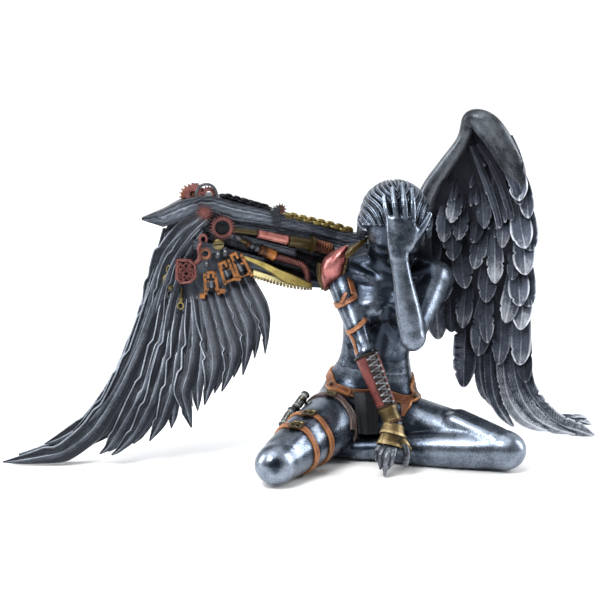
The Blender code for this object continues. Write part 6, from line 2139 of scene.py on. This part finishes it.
# Each paint: its name, then deep, middle and bright colour, which are its painted shade, its middle and its
# painted highlight, roughness, how metallic and the strength of its grain, then what else it has.
PAINTS = (
    ("pewter", ((0.005, 0.007, 0.011), (0.040, 0.053, 0.077), (0.38, 0.44, 0.53), (0.22, 0.34), 0.85, 0.12),
     {"levels": (0.10, 0.55, 0.98), "mottle": 0.34}),
    ("bone", ((0.02, 0.024, 0.03), (0.19, 0.21, 0.24), (0.62, 0.65, 0.68), (0.28, 0.42), 0.6, 0.2),
     {"levels": (0.1, 0.5, 1.0), "mottle": 0.3, "streak": 0.4}),
    ("feather", ((0.006, 0.008, 0.014), (0.072, 0.086, 0.12), (0.66, 0.69, 0.76), (0.3, 0.44), 0.6, 0.3),
     {"weave": 0.62, "levels": (0.18, 0.58, 1.0), "mottle": 0.5}),
    ("blade", ((0.008, 0.010, 0.018), (0.115, 0.135, 0.17), (0.68, 0.73, 0.80), (0.36, 0.52), 0.35, 0.45),
     {"levels": (0.15, 0.55, 1.0), "mottle": 0.3, "streak": 0.6}),
    ("canister", ((0.03, 0.033, 0.033), (0.27, 0.29, 0.28), (0.7, 0.72, 0.7), (0.32, 0.45), 0.4, 0.3), {}),
    # Near black, for the painted shadow in the vial's mouth.
    ("shadow_black", ((0.002, 0.002, 0.002), (0.006, 0.006, 0.007), (0.02, 0.02, 0.02), (0.5, 0.6), 0.1, 0.1), {}),
    ("dark_pewter", ((0.01, 0.011, 0.014), (0.05, 0.056, 0.062), (0.24, 0.26, 0.28), (0.35, 0.5), 0.6, 0.3),
     {}),
    ("gunmetal", ((0.006, 0.007, 0.01), (0.035, 0.04, 0.05), (0.30, 0.32, 0.37), (0.28, 0.45), 0.7, 0.25),
     {}),
    ("silver", ((0.05, 0.052, 0.06), (0.45, 0.47, 0.5), (0.88, 0.9, 0.93), (0.24, 0.36), 0.55, 0.12), {}),
    ("brass", ((0.05, 0.035, 0.01), (0.40, 0.32, 0.13), (0.86, 0.78, 0.48), (0.28, 0.4), 0.45, 0.15), {}),
    ("old_brass", ((0.012, 0.008, 0.003), (0.13, 0.09, 0.034), (0.46, 0.36, 0.19), (0.3, 0.45), 0.6, 0.3),
     {"levels": (0.15, 0.6, 1.05)}),
    ("gold", ((0.05, 0.03, 0.004), (0.50, 0.39, 0.11), (0.94, 0.84, 0.42), (0.28, 0.4), 0.45, 0.15), {}),
    ("copper", ((0.045, 0.012, 0.006), (0.46, 0.19, 0.10), (0.90, 0.55, 0.36), (0.3, 0.42), 0.4, 0.2), {}),
    ("copper_red", ((0.03, 0.005, 0.005), (0.17, 0.04, 0.038), (0.46, 0.18, 0.17), (0.22, 0.34), 0.8, 0.15),
     {}),
    ("red_metal", ((0.03, 0.006, 0.006), (0.30, 0.09, 0.075), (0.68, 0.32, 0.27), (0.26, 0.4), 0.5, 0.15),
     {}),
    ("dark_red", ((0.02, 0.004, 0.004), (0.24, 0.075, 0.065), (0.58, 0.28, 0.25), (0.35, 0.5), 0.35, 0.25),
     {}),
    ("orange", ((0.04, 0.012, 0.003), (0.50, 0.19, 0.045), (0.88, 0.50, 0.18), (0.32, 0.45), 0.3, 0.2), {}),
    ("leather", ((0.02, 0.006, 0.002), (0.15, 0.048, 0.017), (0.46, 0.20, 0.08), (0.32, 0.48), 0.25, 0.5),
     {}),
    ("red_leather",
     ((0.012, 0.003, 0.002), (0.085, 0.016, 0.014), (0.24, 0.06, 0.05), (0.32, 0.48), 0.35, 0.6), {}),
    ("dark_leather",
     ((0.006, 0.004, 0.004), (0.045, 0.026, 0.024), (0.20, 0.14, 0.13), (0.35, 0.5), 0.2, 0.5), {}),
)


def make_paints():
    return {name: paint_of(name, *colours, **more) for name, colours, more in PAINTS}


# How bright the painted shading is: the weight of an open place and the power that deepens the painted shade
# in the hollows, the weight of the painted highlight on what stands out, the share of the sky the rays leave
# out at the rim, and the share a far hit counts for.
OPEN_WEIGHT, OPEN_POWER, RAISED_WEIGHT, SKY_SHARE, FAR_HIT = 0.64, 1.5, 0.38, 0.92, 0.8
# The turn from one ray to the next, and how far off the surface a ray starts, in millimetres.
GOLDEN_TURN, RAY_START = 2.399963, 0.25


def sky_rays():
    """Directions spread evenly over the half sphere above a point."""
    rays = []
    for k in range(SHADE_RAYS):
        up = 1 - (k + 0.5) / SHADE_RAYS * SKY_SHARE
        turn = k * GOLDEN_TURN
        side = math.sqrt(1 - up * up)
        rays.append((side * math.cos(turn), side * math.sin(turn), up))
    return rays


def open_share(tree, vertex, rays, reach):
    """The share of the rays that leave the vertex without a near hit."""
    normal = vertex.normal
    first = normal.orthogonal().normalized()
    second = normal.cross(first)
    start = vertex.co + normal * (RAY_START * METRE)
    share = 0.0
    for a, b, c in rays:
        hit = tree.ray_cast(start, first * a + second * b + normal * c, reach)
        share += 1.0 if hit[0] is None else (hit[3] / reach) * FAR_HIT
    return share / SHADE_RAYS


def add_painted_shading():
    """How open and how raised each point of the surface is, which decides how bright its paint is: painted
    shade where nearby surfaces close it in, painted highlight where it stands out.
    """
    points, faces, start = [], [], 0
    for obj in PIECES:
        count = len(obj.data.vertices)
        data = np.empty(count * 3, np.float32)
        obj.data.vertices.foreach_get("co", data)
        points.append(data.reshape(-1, 3))
        faces += [tuple(i + start for i in face.vertices) for face in obj.data.polygons]
        start += count
    tree = BVHTree.FromPolygons(np.vstack(points).tolist(), faces)
    rays = sky_rays()
    reach = SHADE_REACH * METRE
    for obj, places in zip(PIECES, points):
        mesh = obj.data
        values = np.zeros(len(mesh.vertices), np.float32)
        normals = np.empty(len(mesh.vertices) * 3, np.float32)
        mesh.vertices.foreach_get("normal", normals)
        for i, vertex in enumerate(mesh.vertices):
            values[i] = open_share(tree, vertex, rays, reach)
        for _ in range(2):
            values = smoothed(mesh, values)
        low = places.astype(float)
        for _ in range(obj["spread"]):
            low = smoothed(mesh, low)
        raised = ((places - low) * normals.reshape(-1, 3)).sum(axis=1) / METRE
        raised = np.clip(smoothed(mesh, raised) / obj["relief"], -1, 1)
        shades_and_highlights = np.zeros(len(mesh.vertices), np.float32)
        if "shade_and_highlight" in mesh.attributes:
            mesh.attributes["shade_and_highlight"].data.foreach_get("value", shades_and_highlights)
        # Painted shade where nearby surfaces stop the rays, painted highlight where the surface stands out,
        # plus the piece's paleness and its painted spots and rims.
        total = obj["lift"] + shades_and_highlights + np.clip(values, 0,
                                              1) ** OPEN_POWER * OPEN_WEIGHT + RAISED_WEIGHT * raised
        add_values(mesh, "painted_shading", np.clip(total, 0, 1))


def smoothed(mesh, values):
    """The values averaged over each vertex's neighbours."""
    edges = np.empty(len(mesh.edges) * 2, np.int32)
    mesh.edges.foreach_get("vertices", edges)
    first, second = edges.reshape(-1, 2).T
    count = 1 + np.bincount(first, minlength=len(values)) + np.bincount(second, minlength=len(values))
    if values.ndim > 1:
        columns = [smoothed(mesh, values[:, k]) for k in range(values.shape[1])]
        return np.stack(columns, axis=1)
    total = values + np.bincount(first, values[second], len(values))
    return (total + np.bincount(second, values[first], len(values))) / count


def build_all():
    paints = make_paints()
    build_skin(paints["pewter"])
    build_hair(paints["pewter"])
    build_claws(paints["gunmetal"])
    arm, hand, thigh, trunk = limb_fields()
    build_straps(arm, thigh, trunk, paints)
    build_armour(arm, hand, paints)
    build_pauldron(paints)
    build_apron(paints)
    build_vials(paints)
    build_feathered_wing(paints)
    build_fan(paints)
    build_arm(paints)
    build_gears(paints)
    build_frames(paints)
    build_pistons(paints)
    add_painted_shading()
    for obj in PIECES:
        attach(obj, "root")
        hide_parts(obj["node"])


# Lamps: name, place, size and power. All look at LAMP_TARGET.
LAMP_TARGET = Vector((0.0, 0.0, 0.09))
LAMPS = (
    ("key", (-0.45, -0.70, 1.0), (0.45, 0.45), 11.0),
    ("right", (0.95, 0.05, 0.45), (0.2, 0.7), 7.0),
    ("left", (-1.0, 0.05, 0.5), (0.2, 0.7), 7.0),
)
FLOOR_HALF = 16
# The camera: what it looks at, how far off it is, how far it looks down in degrees, and its lens.
CAMERA_AIM, CAMERA_DISTANCE, CAMERA_TILT, CAMERA_LENS = (-0.00248, 0.02048, 0.105), 1.4, 12, 126.0


def in_scene(name, data):
    obj = bpy.data.objects.new(name, data)
    bpy.context.scene.collection.objects.link(obj)
    return obj


def add_floor():
    mesh = bpy.data.meshes.new("floor")
    corners = [(x * FLOOR_HALF, y * FLOOR_HALF, 0) for x, y in SQUARE]
    mesh.from_pydata(corners, [], [(0, 1, 2, 3)])
    paint = bpy.data.materials.new("floor")
    paint.use_nodes = True
    shader = paint.node_tree.nodes["Principled BSDF"]
    shader.inputs["Base Color"].default_value = (0.9, 0.9, 0.9, 1)
    shader.inputs["Roughness"].default_value = 0.7
    mesh.materials.append(paint)
    in_scene("floor", mesh)


def add_sky():
    """A sky that is darker in front of the figurine and brighter behind it."""
    world = bpy.data.worlds.new("studio")
    bpy.context.scene.world = world
    world.use_nodes = True
    tree = world.node_tree
    where = tree.nodes.new("ShaderNodeTexCoord").outputs["Generated"]
    depth = shader_node(tree, "SeparateXYZ", {"Vector": where}).outputs["Y"]
    limits = {"Value": depth, "From Min": -0.45, "From Max": 0.6, "To Min": 0.2, "To Max": 1.35}
    shade = shader_node(tree, "MapRange", limits)
    sky = tree.nodes["Background"].inputs
    sky["Color"].default_value = (0.96, 0.98, 1.0, 1)
    tree.links.new(shade.outputs["Result"], sky["Strength"])


def add_lamps():
    for name, place, (wide, tall), power in LAMPS:
        light = bpy.data.lights.new(name, "AREA")
        light.shape = "RECTANGLE"
        light.size, light.size_y, light.energy = wide, tall, power
        lamp = in_scene(name, light)
        lamp.location = place
        lamp.rotation_euler = (LAMP_TARGET - Vector(place)).to_track_quat("-Z", "Y").to_euler()
    sun = bpy.data.lights.new("top", "SUN")
    sun.energy, sun.angle = 1.5, math.radians(50)
    in_scene("top", sun).rotation_euler = (math.radians(14), math.radians(-10), 0)


def add_camera():
    bpy.context.scene.view_settings.view_transform = "Standard"
    lens = bpy.data.cameras.new("camera")
    lens.lens, lens.sensor_width = CAMERA_LENS, 36.0
    lens.clip_start, lens.clip_end = 0.05, 60.0
    camera = in_scene("camera", lens)
    aim = Vector(CAMERA_AIM)
    tilt = math.radians(CAMERA_TILT)
    camera.location = aim + CAMERA_DISTANCE * Vector((0, -math.cos(tilt), math.sin(tilt)))
    camera.rotation_euler = (aim - camera.location).to_track_quat("-Z", "Y").to_euler()
    bpy.context.scene.camera = camera


build_all()
add_floor()
add_sky()
add_lamps()
add_camera()
